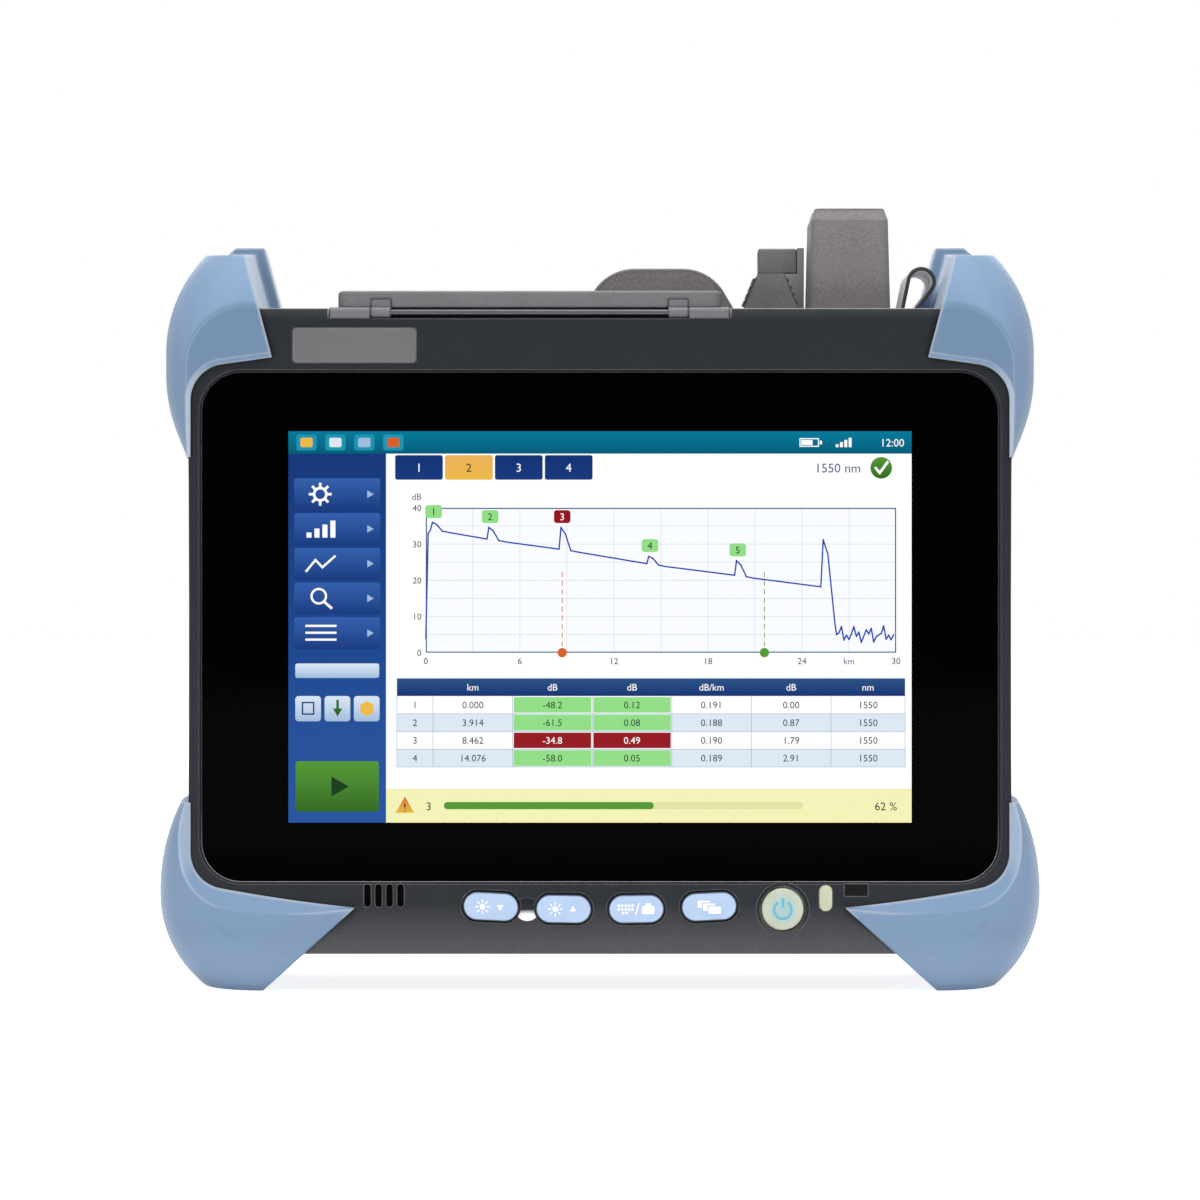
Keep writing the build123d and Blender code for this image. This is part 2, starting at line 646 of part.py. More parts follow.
def rear_shell():
    rear_half = block((-FAR, FAR), (SPLIT_Y, FAR), (-FAR, FAR))
    shell = (OUTER - INNER) & rear_half
    lip_inner = body_block(WALL + LIP_T)
    shell += (body_block(WALL + FIT_GAP) - lip_inner) & block(
        (-FAR, FAR), (SPLIT_Y - LIP_REACH, SPLIT_Y + LIP_ROOT), (-FAR, FAR)
    )
    shell += (body_block(WALL / 2) - lip_inner) & block(
        (-FAR, FAR), (SPLIT_Y, SPLIT_Y + LIP_ROOT), (-FAR, FAR)
    )
    inner_wall = INNER_REAR_Y + WALL / 2
    for x, z in shell_screw_places():
        shell += prism_y(Pos(x, z) * Circle(SHELL_BOSS_D / 2), SPLIT_Y, inner_wall)
    bay = (BATTERY_W + 2 * BAY_GAP, BATTERY_H + 2 * BAY_GAP)
    bay_z = BATTERY_FLOOR + BATTERY_H / 2
    bay_front = BATTERY_REAR_Y - BATTERY_D
    shell += block(
        around(0, bay[0] + 2 * BAY_WALL), (bay_front, inner_wall), around(bay_z, bay[1] + 2 * BAY_WALL)
    )
    pocket = stand_pocket().bounding_box()
    shell += block(
        (pocket.min.X - POCKET_WALL, pocket.max.X + POCKET_WALL),
        (POCKET_FLOOR_Y - POCKET_WALL, inner_wall),
        (pocket.min.Z - POCKET_WALL, pocket.max.Z + POCKET_WALL),
    )
    for x in around(MODULE_X, MODULE_W + 2 * MODULE_GAP + BAY_WALL):
        shell += block(around(x, BAY_WALL), (MODULE_FRONT_Y, inner_wall), (MODULE_FLOOR, MODULE_TOP - WALL))
    shell += block(
        around(MODULE_X, MODULE_W),
        (MODULE_FRONT_Y, inner_wall),
        (MODULE_FLOOR - BAY_WALL - MODULE_GAP, MODULE_FLOOR - MODULE_GAP),
    )
    for x, z in battery_screw_places():
        shell += prism_y(Pos(x, z) * Circle(SHELL_BOSS_D / 2), REAR_Y - SHELL_SCREW_BITE - WALL, inner_wall)
    head_floor = REAR_Y - SCREW_HEAD_T - SCREW_SINK
    cuts = [
        block(around(0, bay[0]), (bay_front - WALL, REAR_Y + WALL), around(bay_z, bay[1])),
        prism_y(battery_door_outline(FIT_GAP), REAR_Y - BATTERY_DOOR_T, REAR_Y + WALL),
        stand_pocket(),
        block(
            around(MODULE_X, MODULE_W + 2 * MODULE_GAP),
            (MODULE_FRONT_Y - MODULE_GAP, MODULE_FRONT_Y + MODULE_PANEL_D + MODULE_GAP),
            (INNER_TOP - WALL, BODY_TOP + WALL),
        ),
        prism_x(
            Pos(STAND_PIVOT_Y, STAND_PIVOT_Z) * Circle(STAND_PIN_D / 2),
            pocket.min.X - POCKET_WALL,
            pocket.max.X + POCKET_WALL,
        ),
    ]
    for ear in battery_ears(FIT_GAP):
        cuts.append(prism_y(ear, REAR_Y - BATTERY_DOOR_T, REAR_Y + WALL))
    for i in range(VENT_COUNT):
        z = FAN_Z + (i - (VENT_COUNT - 1) / 2) * VENT_PITCH
        cuts.append(prism_y(Pos(FAN_X, z) * SlotOverall(VENT_W, VENT_H), INNER_REAR_Y - WALL, REAR_Y + WALL))
    bore = Circle(SCREW_D / 2 + SCREW_BORE_GAP)
    for x, z in shell_screw_places():
        cuts.append(prism_y(Pos(x, z) * bore, SPLIT_Y - WALL, REAR_Y + WALL))
        cuts.append(prism_y(Pos(x, z) * Circle(SCREW_HEAD_D / 2 + FIT_GAP), head_floor, REAR_Y + WALL))
    for x, z in battery_screw_places():
        cuts.append(prism_y(Pos(x, z) * bore, REAR_Y - SHELL_SCREW_BITE, REAR_Y + WALL))
    return shell - cuts


# Corner bumpers


def swell(y):
    """Share of the bumper's swelling at a depth: 0 at its front and back, 1 in the middle."""
    half = BUMPER_D / 2 + SWELL_SPARE
    edge = sqrt(1 - (BUMPER_D / 2 / half) ** 2)
    return (sqrt(1 - (y / half) ** 2) - edge) / (1 - edge)


def corner_section(side, end, radius, widest, tip_x, tip, up):
    """A corner's outline in front view: one end with a rounded shoulder, and a side that tapers to a tip.

    The end lies at the top where up is 1, and at the bottom where up is -1.
    """
    root = SIDE_X - BUMPER_ROOT
    shoulder = end - up * radius
    middle = radius * sqrt(0.5)
    return make_face(
        Curve()
        + [
            Polyline((tip_x, tip), (root, tip), (root, end), (side - radius, end)),
            ThreePointArc(
                (side - radius, end), (side - radius + middle, shoulder + up * middle), (side, shoulder)
            ),
            Line((side, shoulder), (side, widest)),
            TangentArc((side, widest), (tip_x, tip), tangent=(0, -up)),
        ]
    )


def swollen_corner(face, middle, rear, tip, up):
    """A corner lofted from its front section to its middle section and on to its rear section."""
    sections = []
    for share in (-1, -SWELL_SHARE, 0, SWELL_SHARE, 1):
        y = share * BUMPER_D / 2
        outer = face if y < 0 else rear
        side, end, radius, widest, tip_x = (a + (b - a) * swell(y) for a, b in zip(outer, middle))
        sections.append(front_view(corner_section(side, end, radius, widest, tip_x, tip, up), y))
    return loft(sections)


def rimmed_prism(outline, rim_w, rim_t):
    """An outline through the bumper's whole depth, drawn in at its front by a sloping rim."""
    front = -BUMPER_D / 2
    rim = extrude(front_view(outline, front + rim_t), amount=rim_t, taper=atan(rim_w / rim_t) * 180 / pi)
    return prism_y(outline, front + rim_t, BUMPER_D) + rim


EDGE_X = GLASS_W / 2 + FRAME_STRIP


def upper_end_x(z):
    """Where the upper bumper's leaning inner end stands at a height."""
    return UPPER_END_X + (z - UPPER_END_Z) * tan(radians(UPPER_END_LEAN))


def upper_bumper():
    """The upper right corner: an ear that stands above the deck and a tongue down the side."""
    tip = BODY_TOP - UPPER_TIP_DROP
    swell_top = BODY_TOP + UPPER_RISE
    face_taper, taper = (
        (BODY_TOP - drop, SIDE_X + out) for drop, out in zip(UPPER_WIDEST_DROPS, UPPER_TIP_OUTS)
    )
    form = swollen_corner(
        (SIDE_X, BODY_TOP, BODY_CORNER_R, *face_taper),
        (SIDE_X + UPPER_OUT, swell_top, UPPER_SHOULDER_R, *taper),
        (SIDE_X + UPPER_REAR_OUT, swell_top, UPPER_REAR_R, *taper),
        tip,
        1,
    )
    ear_top = BODY_TOP + EAR_RISE
    low, high = UPPER_END_Z, ear_top + WALL
    corner_at = (EDGE_X, BODY_TOP - UPPER_EDGE_DROP)
    outline = polygon(
        [
            (upper_end_x(low) - EAR_LIP_IN, low),
            corner_at,
            (EDGE_X, tip - WALL),
            (BODY_W, tip - WALL),
            (BODY_W, high),
            (upper_end_x(high) - EAR_LIP_IN, high),
        ]
    )
    outline = fillet(outline.vertices().sort_by_distance(corner_at)[0], EDGE_CORNER_R)
    lip_y = BUMPER_D / 2 - EAR_LIP_D
    ear_side = prism_x(
        polygon(
            [
                (-BUMPER_D, ear_top - EAR_FALL),
                (-BUMPER_D / 2, ear_top - EAR_FALL),
                (lip_y, ear_top - EAR_LIP_RISE),
                (lip_y, ear_top),
                (BUMPER_D, ear_top),
                (BUMPER_D, 0),
                (-BUMPER_D, 0),
            ]
        ),
        0,
        BODY_W,
    )
    step_front, step_rear = (
        front_view(
            polygon(
                [
                    (upper_end_x(low - WALL) - WALL * 2, low - WALL),
                    (upper_end_x(low - WALL) + back, low - WALL),
                    (upper_end_x(high) + back, high),
                    (upper_end_x(high) - WALL * 2, high),
                ]
            ),
            y,
        )
        for y, back in ((-BUMPER_D / 2, 0), (lip_y, EAR_DRAFT))
    )
    step = loft([step_front, step_rear])
    bumper = form & rimmed_prism(outline, UPPER_RIM_W, UPPER_RIM_T) & ear_side
    return bumper - step - body_block(-BUMPER_GAP)


def lower_outline(rim_w, rim_h, bow):
    """The lower bumper in front view, drawn in by a rim that runs out at the inner end."""
    end = (SIDE_X - LOWER_END_IN, BODY_FLOOR + LOWER_END_RISE)
    corner = (EDGE_X + rim_w, BODY_FLOOR + LOWER_EDGE_RISE - rim_h)
    top = BODY_FLOOR + LOWER_TIP_RISE + WALL
    sag = ((end[0] + corner[0]) / 2, (end[1] + corner[1]) / 2 - bow)
    outline = make_face(
        Curve()
        + [
            ThreePointArc(end, sag, corner),
            Polyline(
                corner, (corner[0], top), (BODY_W, top), (BODY_W, 0), (SIDE_X - FOOT_IN, 0), end
            ),
        ]
    )
    return fillet(outline.vertices().sort_by_distance(corner)[0], EDGE_CORNER_R + rim_w)


def lower_bumper():
    """The lower right corner, with the flat foot that the instrument stands on."""
    face_taper, taper = (
        (BODY_FLOOR + rise, SIDE_X + out) for rise, out in zip(LOWER_WIDEST_RISES, LOWER_TIP_OUTS)
    )
    face = (SIDE_X + LOWER_CREASE_OUT, BODY_FLOOR + LOWER_CREASE_RISE, LOWER_CREASE_R, *face_taper)
    form = swollen_corner(
        face,
        (SIDE_X + LOWER_OUT, -LOWER_DIP, LOWER_FOOT_R, *taper),
        face,
        BODY_FLOOR + LOWER_TIP_RISE,
        -1,
    )
    front = -BUMPER_D / 2
    edge = lower_outline(0, 0, LOWER_EDGE_BOW)
    crease = lower_outline(LOWER_RIM_W, LOWER_RIM_H, LOWER_CREASE_BOW)
    rim = loft([front_view(edge, front + LOWER_RIM_T), front_view(crease, front)], ruled=True)
    rimmed = prism_y(edge, front + LOWER_RIM_T, BUMPER_D) + rim
    return (form & rimmed) - body_block(-BUMPER_GAP)


# Display stack


def touch_glass():
    outline = Pos(0, GLASS_Z) * RectangleRounded(GLASS_W, GLASS_H, GLASS_R)
    return prism_y(outline, FRONT_Y + GLASS_SINK, GLASS_BACK_Y)


def display_panel():
    return block(around(0, LCD_W), (POCKET_Y, LCD_BACK_Y), around(GLASS_Z, LCD_H))


def chassis_frame():
    """The metal plate behind the display, with the posts that carry the main board."""
    frame = prism_y(
        Pos(0, GLASS_Z) * RectangleRounded(FRAME_W, FRAME_H, POST_D / 2), FRAME_FRONT_Y, FRAME_BACK_Y
    )
    for x in around(0, MAIN_BOARD_W - 2 * POST_D):
        for z in around(GLASS_Z, MAIN_BOARD_H - 2 * POST_D):
            frame += prism_y(Pos(x, z) * Circle(POST_D / 2), FRAME_BACK_Y, MAIN_BOARD_Y)
    return frame


def main_board():
    return block(
        around(0, MAIN_BOARD_W), (MAIN_BOARD_Y, MAIN_BOARD_Y + BOARD_T), around(GLASS_Z, MAIN_BOARD_H)
    )


# Keys of the lower band


def pressed_piece(outline, flange, front_y):
    """A key cap with a flange behind the housing wall."""
    cap = prism_y(outline, front_y, KEY_FLANGE_Y + KEY_FLANGE_T)
    cap = fillet(cap.faces().sort_by(Axis.Y)[0].edges(), KEY_EDGE_R)
    return cap + prism_y(flange, KEY_FLANGE_Y, KEY_BACK_Y)


def key(place):
    return pressed_piece(key_outline(place, 0), key_outline(place, KEY_FLANGE), FRONT_Y - KEY_PROUD)


def power_key():
    centre = Pos(POWER_X, POWER_Z)
    flange = centre * Circle(POWER_D / 2 + KEY_FLANGE)
    return pressed_piece(centre * Circle(POWER_D / 2), flange, FRONT_Y - KEY_PROUD / 2)


def status_lamp():
    lamp = prism_y(lamp_outline(0), FRONT_Y - KEY_PROUD / 3, INNER_FRONT_Y)
    return fillet(lamp.faces().sort_by(Axis.Y)[0].edges(), KEY_EDGE_R / 3)


def sensor_window():
    return block(around(SENSOR_X, SENSOR_W), (FRONT_Y, INNER_FRONT_Y), around(SENSOR_Z, SENSOR_H))


def label_plate():
    outline = Pos(PLATE_X, PLATE_Z) * RectangleRounded(PLATE_W, PLATE_H, 1)
    return prism_y(outline, FRONT_Y, FRONT_Y + PLATE_T)


def key_board():
    """The board behind the keys."""
    y = DOME_FRONT_Y + DOME_T
    low = key_places()[0][0] - KEY_W / 2
    high = POWER_X + POWER_D / 2 + KEY_GAP
    return block((low, high), (y, y + BOARD_T), around(POWER_Z, KEY_H + 2 * KEY_FLANGE))


def dome_switches():
    centres = [(x, z) for x, z, _ in key_places()] + [(POWER_X, POWER_Z)]
    return group(
        prism_y(Pos(x, z) * Circle(DOME_D / 2), DOME_FRONT_Y, DOME_FRONT_Y + DOME_T) for x, z in centres
    )


def speaker():
    width = SLOT_COUNT * SLOT_PITCH + SLOT_W
    outline = Pos(SLOTS_X, SLOTS_Z) * RectangleRounded(width, SLOT_H + SLOT_W, SLOT_W)
    return prism_y(outline, INNER_FRONT_Y + FIT_GAP, INNER_FRONT_Y + SLOT_W * 2)


# Port door, hinge and the ports under it


def door_ends(span, width):
    """The (low, high) pairs of two pieces of one width at the ends of a span about the door's middle."""
    low, high = around(DOOR_X, span)
    return [(low, low + width), (high - width, high)]


def hinge_circle(diameter):
    return Pos(HINGE_Y, HINGE_Z) * Circle(diameter / 2)


def port_door():
    outline = Pos(DOOR_X, DOOR_FRONT_Y + DOOR_D / 2) * RectangleRounded(DOOR_W, DOOR_D, DOOR_R)
    door = prism_z(outline, DOOR_FLOOR, DOOR_FLOOR + DOOR_T)
    door = fillet(door.faces().sort_by(Axis.Z)[-1].edges(), DOOR_EDGE_R)
    for x0, x1 in door_ends(KNUCKLE_SPAN, KNUCKLE_W):
        door += prism_x(hinge_circle(KNUCKLE_D), x0, x1)
        door += block((x0, x1), (HINGE_Y, DOOR_FRONT_Y + DOOR_R), (HINGE_Z, DOOR_FLOOR + DOOR_T / 2)) & block(
            (x0, x1), (HINGE_Y, FRONT_Y + NOTCH_IN - NOTCH_GAP), (HINGE_Z, FAR)
        )
    bore = hinge_circle(ROD_D + 2 * ROD_GAP)
    return door - prism_x(bore, DOOR_X - DOOR_W, DOOR_X + DOOR_W)


def door_seal():
    """The rubber ring under the door that enters the port well."""
    width, depth = WELL_W - 2 * SEAL_GAP, WELL_D - 2 * SEAL_GAP
    ring = RectangleRounded(width, depth, DOOR_R) - RectangleRounded(
        width - 2 * SEAL_W, depth - 2 * SEAL_W, DOOR_R / 2
    )
    return prism_z(Pos(DOOR_X, WELL_Y) * ring, BODY_TOP - SEAL_DROP, DOOR_FLOOR)


def hinge_rod():
    low, high = around(DOOR_X, BRACKET_SPAN - KNUCKLE_D)
    return prism_x(hinge_circle(ROD_D), low, high)


def hinge_brackets():
    """The two half-round blocks on the notch floor that hold the rod's ends."""
    width = (BRACKET_SPAN - KNUCKLE_SPAN) / 2 - HINGE_SIDE_GAP
    brackets = []
    for x0, x1 in door_ends(BRACKET_SPAN, width):
        round_top = prism_x(hinge_circle(KNUCKLE_D), x0, x1)
        base = block((x0, x1), around(HINGE_Y, KNUCKLE_D), (NOTCH_Z, HINGE_Z))
        brackets.append((round_top + base) - hinge_rod())
    return group(brackets)


def port_places():
    """X of each socket along the row."""
    places, edge = [], DOOR_X - WELL_W / 2
    for width in PORT_ROW:
        edge += PORT_SPACE
        places.append(edge + width / 2)
        edge += width
    return places


POWER_JACK_X, SOUND_JACK_X = port_places()[:2]
USB_XS = port_places()[2:4]
JACK_XS = port_places()[4:]


def panel_cutout(x, width, depth):
    return Pos(x, WELL_Y) * Rectangle(width + 2 * PORT_GAP, depth + 2 * PORT_GAP)


def port_panel():
    """The plate under the port well that the sockets come up through."""
    outline = Pos(DOOR_X, WELL_Y) * Rectangle(WELL_W + 2 * PANEL_LAP, WELL_D + 2 * PANEL_LAP)
    sizes = [(x, USB_W, USB_H) for x in USB_XS] + [(x, JACK_W, JACK_D) for x in JACK_XS]
    sizes.append((POWER_JACK_X, POWER_JACK_W, POWER_JACK_W))
    sizes.append((SOUND_JACK_X, SOUND_JACK_W, SOUND_JACK_W))
    for size in sizes:
        outline -= panel_cutout(*size)
    return prism_z(outline, INNER_TOP - PANEL_T, INNER_TOP)


def usb_socket(x):
    shell = Rectangle(USB_W, USB_H) - Rectangle(USB_W - 2 * USB_WALL, USB_H - 2 * USB_WALL)
    socket = prism_z(Pos(x, WELL_Y) * shell, PORT_FLOOR, PORT_TOP)
    floor = prism_z(Pos(x, WELL_Y) * Rectangle(USB_W, USB_H), PORT_FLOOR, PORT_FLOOR + PANEL_T)
    tongue = block(
        around(x, USB_W - 6 * USB_WALL),
        (WELL_Y + USB_WALL, WELL_Y + USB_H / 2 - 3 * USB_WALL),
        (PORT_FLOOR, PORT_TOP - PANEL_T),
    )
    return socket + floor + tongue


def network_jack(x):
    body = prism_z(Pos(x, WELL_Y) * Rectangle(JACK_W, JACK_D), PORT_FLOOR, PORT_TOP)
    mouth = Pos(x, WELL_Y) * Rectangle(JACK_MOUTH_W, JACK_MOUTH_D)
    mouth += Pos(x, WELL_Y - JACK_MOUTH_D / 2) * Rectangle(JACK_MOUTH_W / 2, JACK_MOUTH_D / 2)
    return body - prism_z(mouth, PORT_FLOOR + JACK_FLOOR, PORT_TOP + WALL)


def round_jack(x, width, bore_d):
    body = prism_z(Pos(x, WELL_Y) * Rectangle(width, width), PORT_FLOOR, PORT_TOP)
    return body - prism_z(Pos(x, WELL_Y) * Circle(bore_d / 2), PORT_FLOOR + PANEL_T, PORT_TOP + WALL)


def power_jack():
    jack = round_jack(POWER_JACK_X, POWER_JACK_W, POWER_JACK_BORE_D)
    pin = Pos(POWER_JACK_X, WELL_Y) * Circle(POWER_JACK_PIN_D / 2)
    return jack + prism_z(pin, PORT_FLOOR, PORT_TOP - PANEL_T)


def port_board():
    low, high = around(DOOR_X, WELL_W)
    return block((low, high), around(WELL_Y, WELL_D), (PORT_FLOOR - PORT_BOARD_T, PORT_FLOOR))


# Test module


def module_case():
    """The cassette in the rear bay, open at the top, where its panel closes it."""
    x, y = around(MODULE_X, MODULE_W), (MODULE_FRONT_Y, MODULE_REAR_Y)
    outside = block(x, y, (MODULE_FLOOR, MODULE_TOP))
    hollow = block(
        (x[0] + MODULE_WALL, x[1] - MODULE_WALL),
        (y[0] + MODULE_WALL, y[1] - MODULE_WALL),
        (MODULE_FLOOR + MODULE_WALL, MODULE_TOP + WALL),
    )
    return outside - hollow


def module_panel():
    panel = block(
        around(MODULE_X, MODULE_W),
        (MODULE_FRONT_Y, MODULE_FRONT_Y + MODULE_PANEL_D),
        (MODULE_TOP, DECK),
    )
    holes = [
        (COVER_X, COVER_Y, FERRULE_D + FLANGE_T),
        (METER_X, METER_Y, METER_BARREL_D - FLANGE_T),
    ]
    for x, y, d in holes:
        panel -= prism_z(Pos(x, y) * Circle(d / 2), MODULE_TOP - WALL, DECK + WALL)
    return panel


def module_board():
    y = MODULE_FRONT_Y + MODULE_WALL + FIT_GAP
    return block(
        around(MODULE_X, MODULE_W - 2 * MODULE_WALL - 2 * MODULE_GAP),
        (y, y + BOARD_T),
        (MODULE_FLOOR + MODULE_WALL + FIT_GAP, MODULE_TOP - 4 * WALL),
    )


def laser_block():
    """The sealed laser, coupler and detector block on the module's board."""
    y = MODULE_FRONT_Y + MODULE_WALL + FIT_GAP + BOARD_T
    body = block(
        around(COVER_X, COVER_W),
        (y, MODULE_REAR_Y - MODULE_WALL - LASER_GAP),
        (MODULE_TOP - COVER_H * 2, MODULE_TOP - COVER_H),
    )
    return fillet(body.edges().filter_by(Axis.Z), COVER_R)


def test_port():
    """The optical adapter under the tall cover: flange, square body and ferrule sleeve."""
    centre = Pos(COVER_X, COVER_Y)
    flange = prism_z(
        centre * RectangleRounded(PORT_BLOCK_W + FLANGE_LAP, PORT_BLOCK_D + FLANGE_LAP, FLANGE_T),
        DECK,
        DECK + FLANGE_T,
    )
    body = prism_z(
        centre * RectangleRounded(PORT_BLOCK_W, PORT_BLOCK_D, FLANGE_T / 2), DECK, DECK + PORT_BLOCK_H
    )
    mouth = centre * Rectangle(PORT_BLOCK_W - 2 * FLANGE_T, PORT_BLOCK_D - 2 * FLANGE_T)
    body -= prism_z(mouth, DECK + FLANGE_T * 2, DECK + PORT_BLOCK_H + WALL)
    sleeve = prism_z(centre * Circle(FERRULE_D / 2 + FLANGE_T / 4), DECK, DECK + PORT_BLOCK_H - FLANGE_T)
    bore = prism_z(centre * Circle(FERRULE_D / 2), DECK - WALL, DECK + PORT_BLOCK_H + WALL)
    return flange + body + sleeve - bore


def test_port_cover():
    """The tall tapered boot that pulls off the test port, open underneath."""
    floor = DECK + CAP_SEAT
    bevel_z = floor + COVER_H - COVER_TOP_CUT

    def section(z, inset):
        width, depth = COVER_W - 2 * inset, COVER_D - 2 * inset
        return Pos(COVER_X, COVER_Y, z) * RectangleRounded(width, depth, COVER_R)

    half_taper = COVER_TAPER / 2
    boot = loft([section(floor, 0), section(bevel_z, half_taper)])
    boot += loft([section(bevel_z, half_taper), section(floor + COVER_H, half_taper + COVER_TOP_IN)])
    inner_top = section(bevel_z - COVER_WALL, half_taper + COVER_WALL)
    hollow = loft([section(floor - FLANGE_T, COVER_WALL), inner_top])
    return boot - hollow


def meter_port():
    centre = Pos(METER_X, METER_Y)
    barrel = prism_z(centre * Circle(METER_BARREL_D / 2), DECK, DECK + METER_BARREL_H)
    return barrel - prism_z(
        centre * Circle(METER_BARREL_D / 2 - FLANGE_T / 2), DECK - WALL, DECK + METER_BARREL_H + WALL
    )


def meter_cap():
    """The ribbed wedge-shaped dust cap: flat front and back, grip ribs down both slopes."""
    floor = DECK + CAP_SEAT
    half, top_half = METER_BASE_W / 2, METER_TOP_W / 2
    skirt, top = floor + METER_SKIRT, floor + METER_H
    depth = around(METER_Y, METER_D)
    slope_x, slope_z = half - top_half, top - skirt
    length = sqrt(slope_x**2 + slope_z**2)
    cap = prism_y(
        polygon(
            [
                (METER_X - half, floor),
                (METER_X + half, floor),
                (METER_X + half, skirt),
                (METER_X + top_half, top),
                (METER_X - top_half, top),
                (METER_X - half, skirt),
            ]
        ),
        *depth,
    )
    cap = fillet(cap.faces().sort_by(Axis.Z)[-1].edges().filter_by(Axis.Y), KEY_EDGE_R)
    angle = 90 - (180 / pi) * (slope_x / length)
    for side in (-1, 1):
        for i in range(METER_RIBS):
            share = (i + 0.9) / (METER_RIBS + 0.8)
            x = METER_X + side * (half - slope_x * share)
            z = skirt + slope_z * share
            rib = Pos(x, z) * Rot(0, 0, side * angle) * RectangleRounded(
                METER_RIB_T, 2 * METER_RIB_OUT, METER_RIB_T / 2.5
            )
            cap += prism_y(rib, depth[0] + METER_RIB_T, depth[1] - METER_RIB_T)
    socket = Pos(METER_X, METER_Y) * Circle(METER_BARREL_D / 2 + ROD_GAP)
    return cap - prism_z(socket, floor - WALL, DECK + METER_BARREL_H + CAP_SEAT)


def adapter_body():
    """The bare metal second port: a block with an upright fin and the post that its cap sits on."""
    x = around(ADAPTER_X, ADAPTER_W)
    y = around(ADAPTER_Y, ADAPTER_D)
    body = block(x, y, (DECK, DECK + ADAPTER_H - CAP_SEAT))
    body += block((x[1] - ADAPTER_FIN_W, x[1]), y, (DECK, DECK + ADAPTER_FIN_H))
    top = DECK + ADAPTER_H - CAP_SEAT
    post = Pos(ADAPTER_CAP_X, ADAPTER_Y) * Circle(ADAPTER_POST_D / 2)
    body += prism_z(post, top - WALL, top + ADAPTER_POST_H)
    bore = Pos(ADAPTER_CAP_X, ADAPTER_Y) * Circle(FERRULE_D / 2)
    return body - prism_z(bore, top - ADAPTER_POST_H, top + ADAPTER_POST_H + WALL)


def adapter_cap():
    floor = DECK + ADAPTER_H
    x, y = around(ADAPTER_CAP_X, ADAPTER_CAP_W), around(ADAPTER_Y, ADAPTER_D)
    cap = block(x, y, (floor, floor + ADAPTER_CAP_H))
    cap = fillet(cap.faces().sort_by(Axis.Z)[-1].edges(), KEY_EDGE_R)
    socket = Pos(ADAPTER_CAP_X, ADAPTER_Y) * Circle(ADAPTER_POST_D / 2 + ROD_GAP)
    return cap - prism_z(socket, floor - WALL, floor + ADAPTER_POST_H + FIT_GAP)


def pull_grip():
    """The humped grip that draws the module out of its bay, hollowed behind for the fingers."""
    top = DECK + GRIP_H
    outline = polygon(
        [
            (GRIP_X - GRIP_BASE_W / 2, DECK),
            (GRIP_X + GRIP_BASE_W / 2, DECK),
            (GRIP_X + GRIP_TOP_W / 2, top),
            (GRIP_X - GRIP_TOP_W / 2, top),
        ]
    )
    outline = fillet(outline.vertices().group_by(Axis.Y)[-1], GRIP_SHOULDER_R)
    grip = prism_y(outline, *around(GRIP_Y, GRIP_T))
    front_edges = grip.faces().sort_by(Axis.Y)[0].edges()
    grip = fillet(front_edges.filter_by(lambda edge: edge.center().Z > DECK + KEY_EDGE_R), KEY_EDGE_R)
    scoop_y = GRIP_Y + GRIP_T / 2 + GRIP_SCOOP_R - GRIP_SCOOP_IN
    return grip - prism_x(
        Pos(scoop_y, DECK + GRIP_H / 3) * Circle(GRIP_SCOOP_R),
        GRIP_X - GRIP_TOP_W / 2,
        GRIP_X + GRIP_TOP_W / 2,
    )


def tangent_point(foot_x, foot_z, side):
    """Where a straight leg from the foot touches the loop's round, on its left (-1) or right (1)."""
    dx, dz = LOOP_X - foot_x, LOOP_Z - foot_z
    far = sqrt(dx**2 + dz**2)
    along = LOOP_R**2 / far
    across = LOOP_R * sqrt(far**2 - LOOP_R**2) / far
    ux, uz = dx / far, dz / far
    return (LOOP_X - along * ux + side * across * uz, LOOP_Z - along * uz - side * across * ux)


def pen_loop():
    """The strap folded into a tear-shaped loop, with both ends in the anchor."""
    foot_z = DECK + ANCHOR_H
    left, right = ((x, foot_z) for x in LOOP_FOOT_XS)
    left_touch, right_touch = tangent_point(*left, -1), tangent_point(*right, 1)
    line = Curve() + [
        Line(left, left_touch),
        ThreePointArc(left_touch, (LOOP_X, LOOP_Z + LOOP_R), right_touch),
        Line(right_touch, right),
    ]
    return prism_y(trace(line, LOOP_T), *around(LOOP_Y, LOOP_W)) & block(
        (-FAR, FAR), (-FAR, FAR), (foot_z, FAR)
    )


def loop_anchor():
    x = (LOOP_FOOT_XS[0] - ANCHOR_LAP, LOOP_FOOT_XS[1] + ANCHOR_LAP)
    return block(x, around(LOOP_Y, LOOP_W + 2 * LOOP_T), (DECK, DECK + ANCHOR_H))


# Battery, its door and the stand


def battery_pack():
    x, z = around(0, BATTERY_W), (BATTERY_FLOOR, BATTERY_FLOOR + BATTERY_H)
    pack = block(x, (BATTERY_REAR_Y - BATTERY_D, BATTERY_REAR_Y), z)
    return fillet(pack.edges().filter_by(Axis.X), BATTERY_DOOR_T)


def battery_door():
    outline = battery_door_outline(0)
    for ear in battery_ears(0):
        outline += ear
    door = prism_y(outline, REAR_Y - BATTERY_DOOR_T, REAR_Y)
    for x, z in battery_screw_places():
        door -= prism_y(Pos(x, z) * Circle(SCREW_D / 2 + FIT_GAP), REAR_Y - WALL * 2, REAR_Y + WALL)
        head = Circle(SCREW_HEAD_D / 2 + FIT_GAP)
        door -= prism_y(Pos(x, z) * head, REAR_Y - BATTERY_HEAD_SINK, REAR_Y + WALL)
    return door


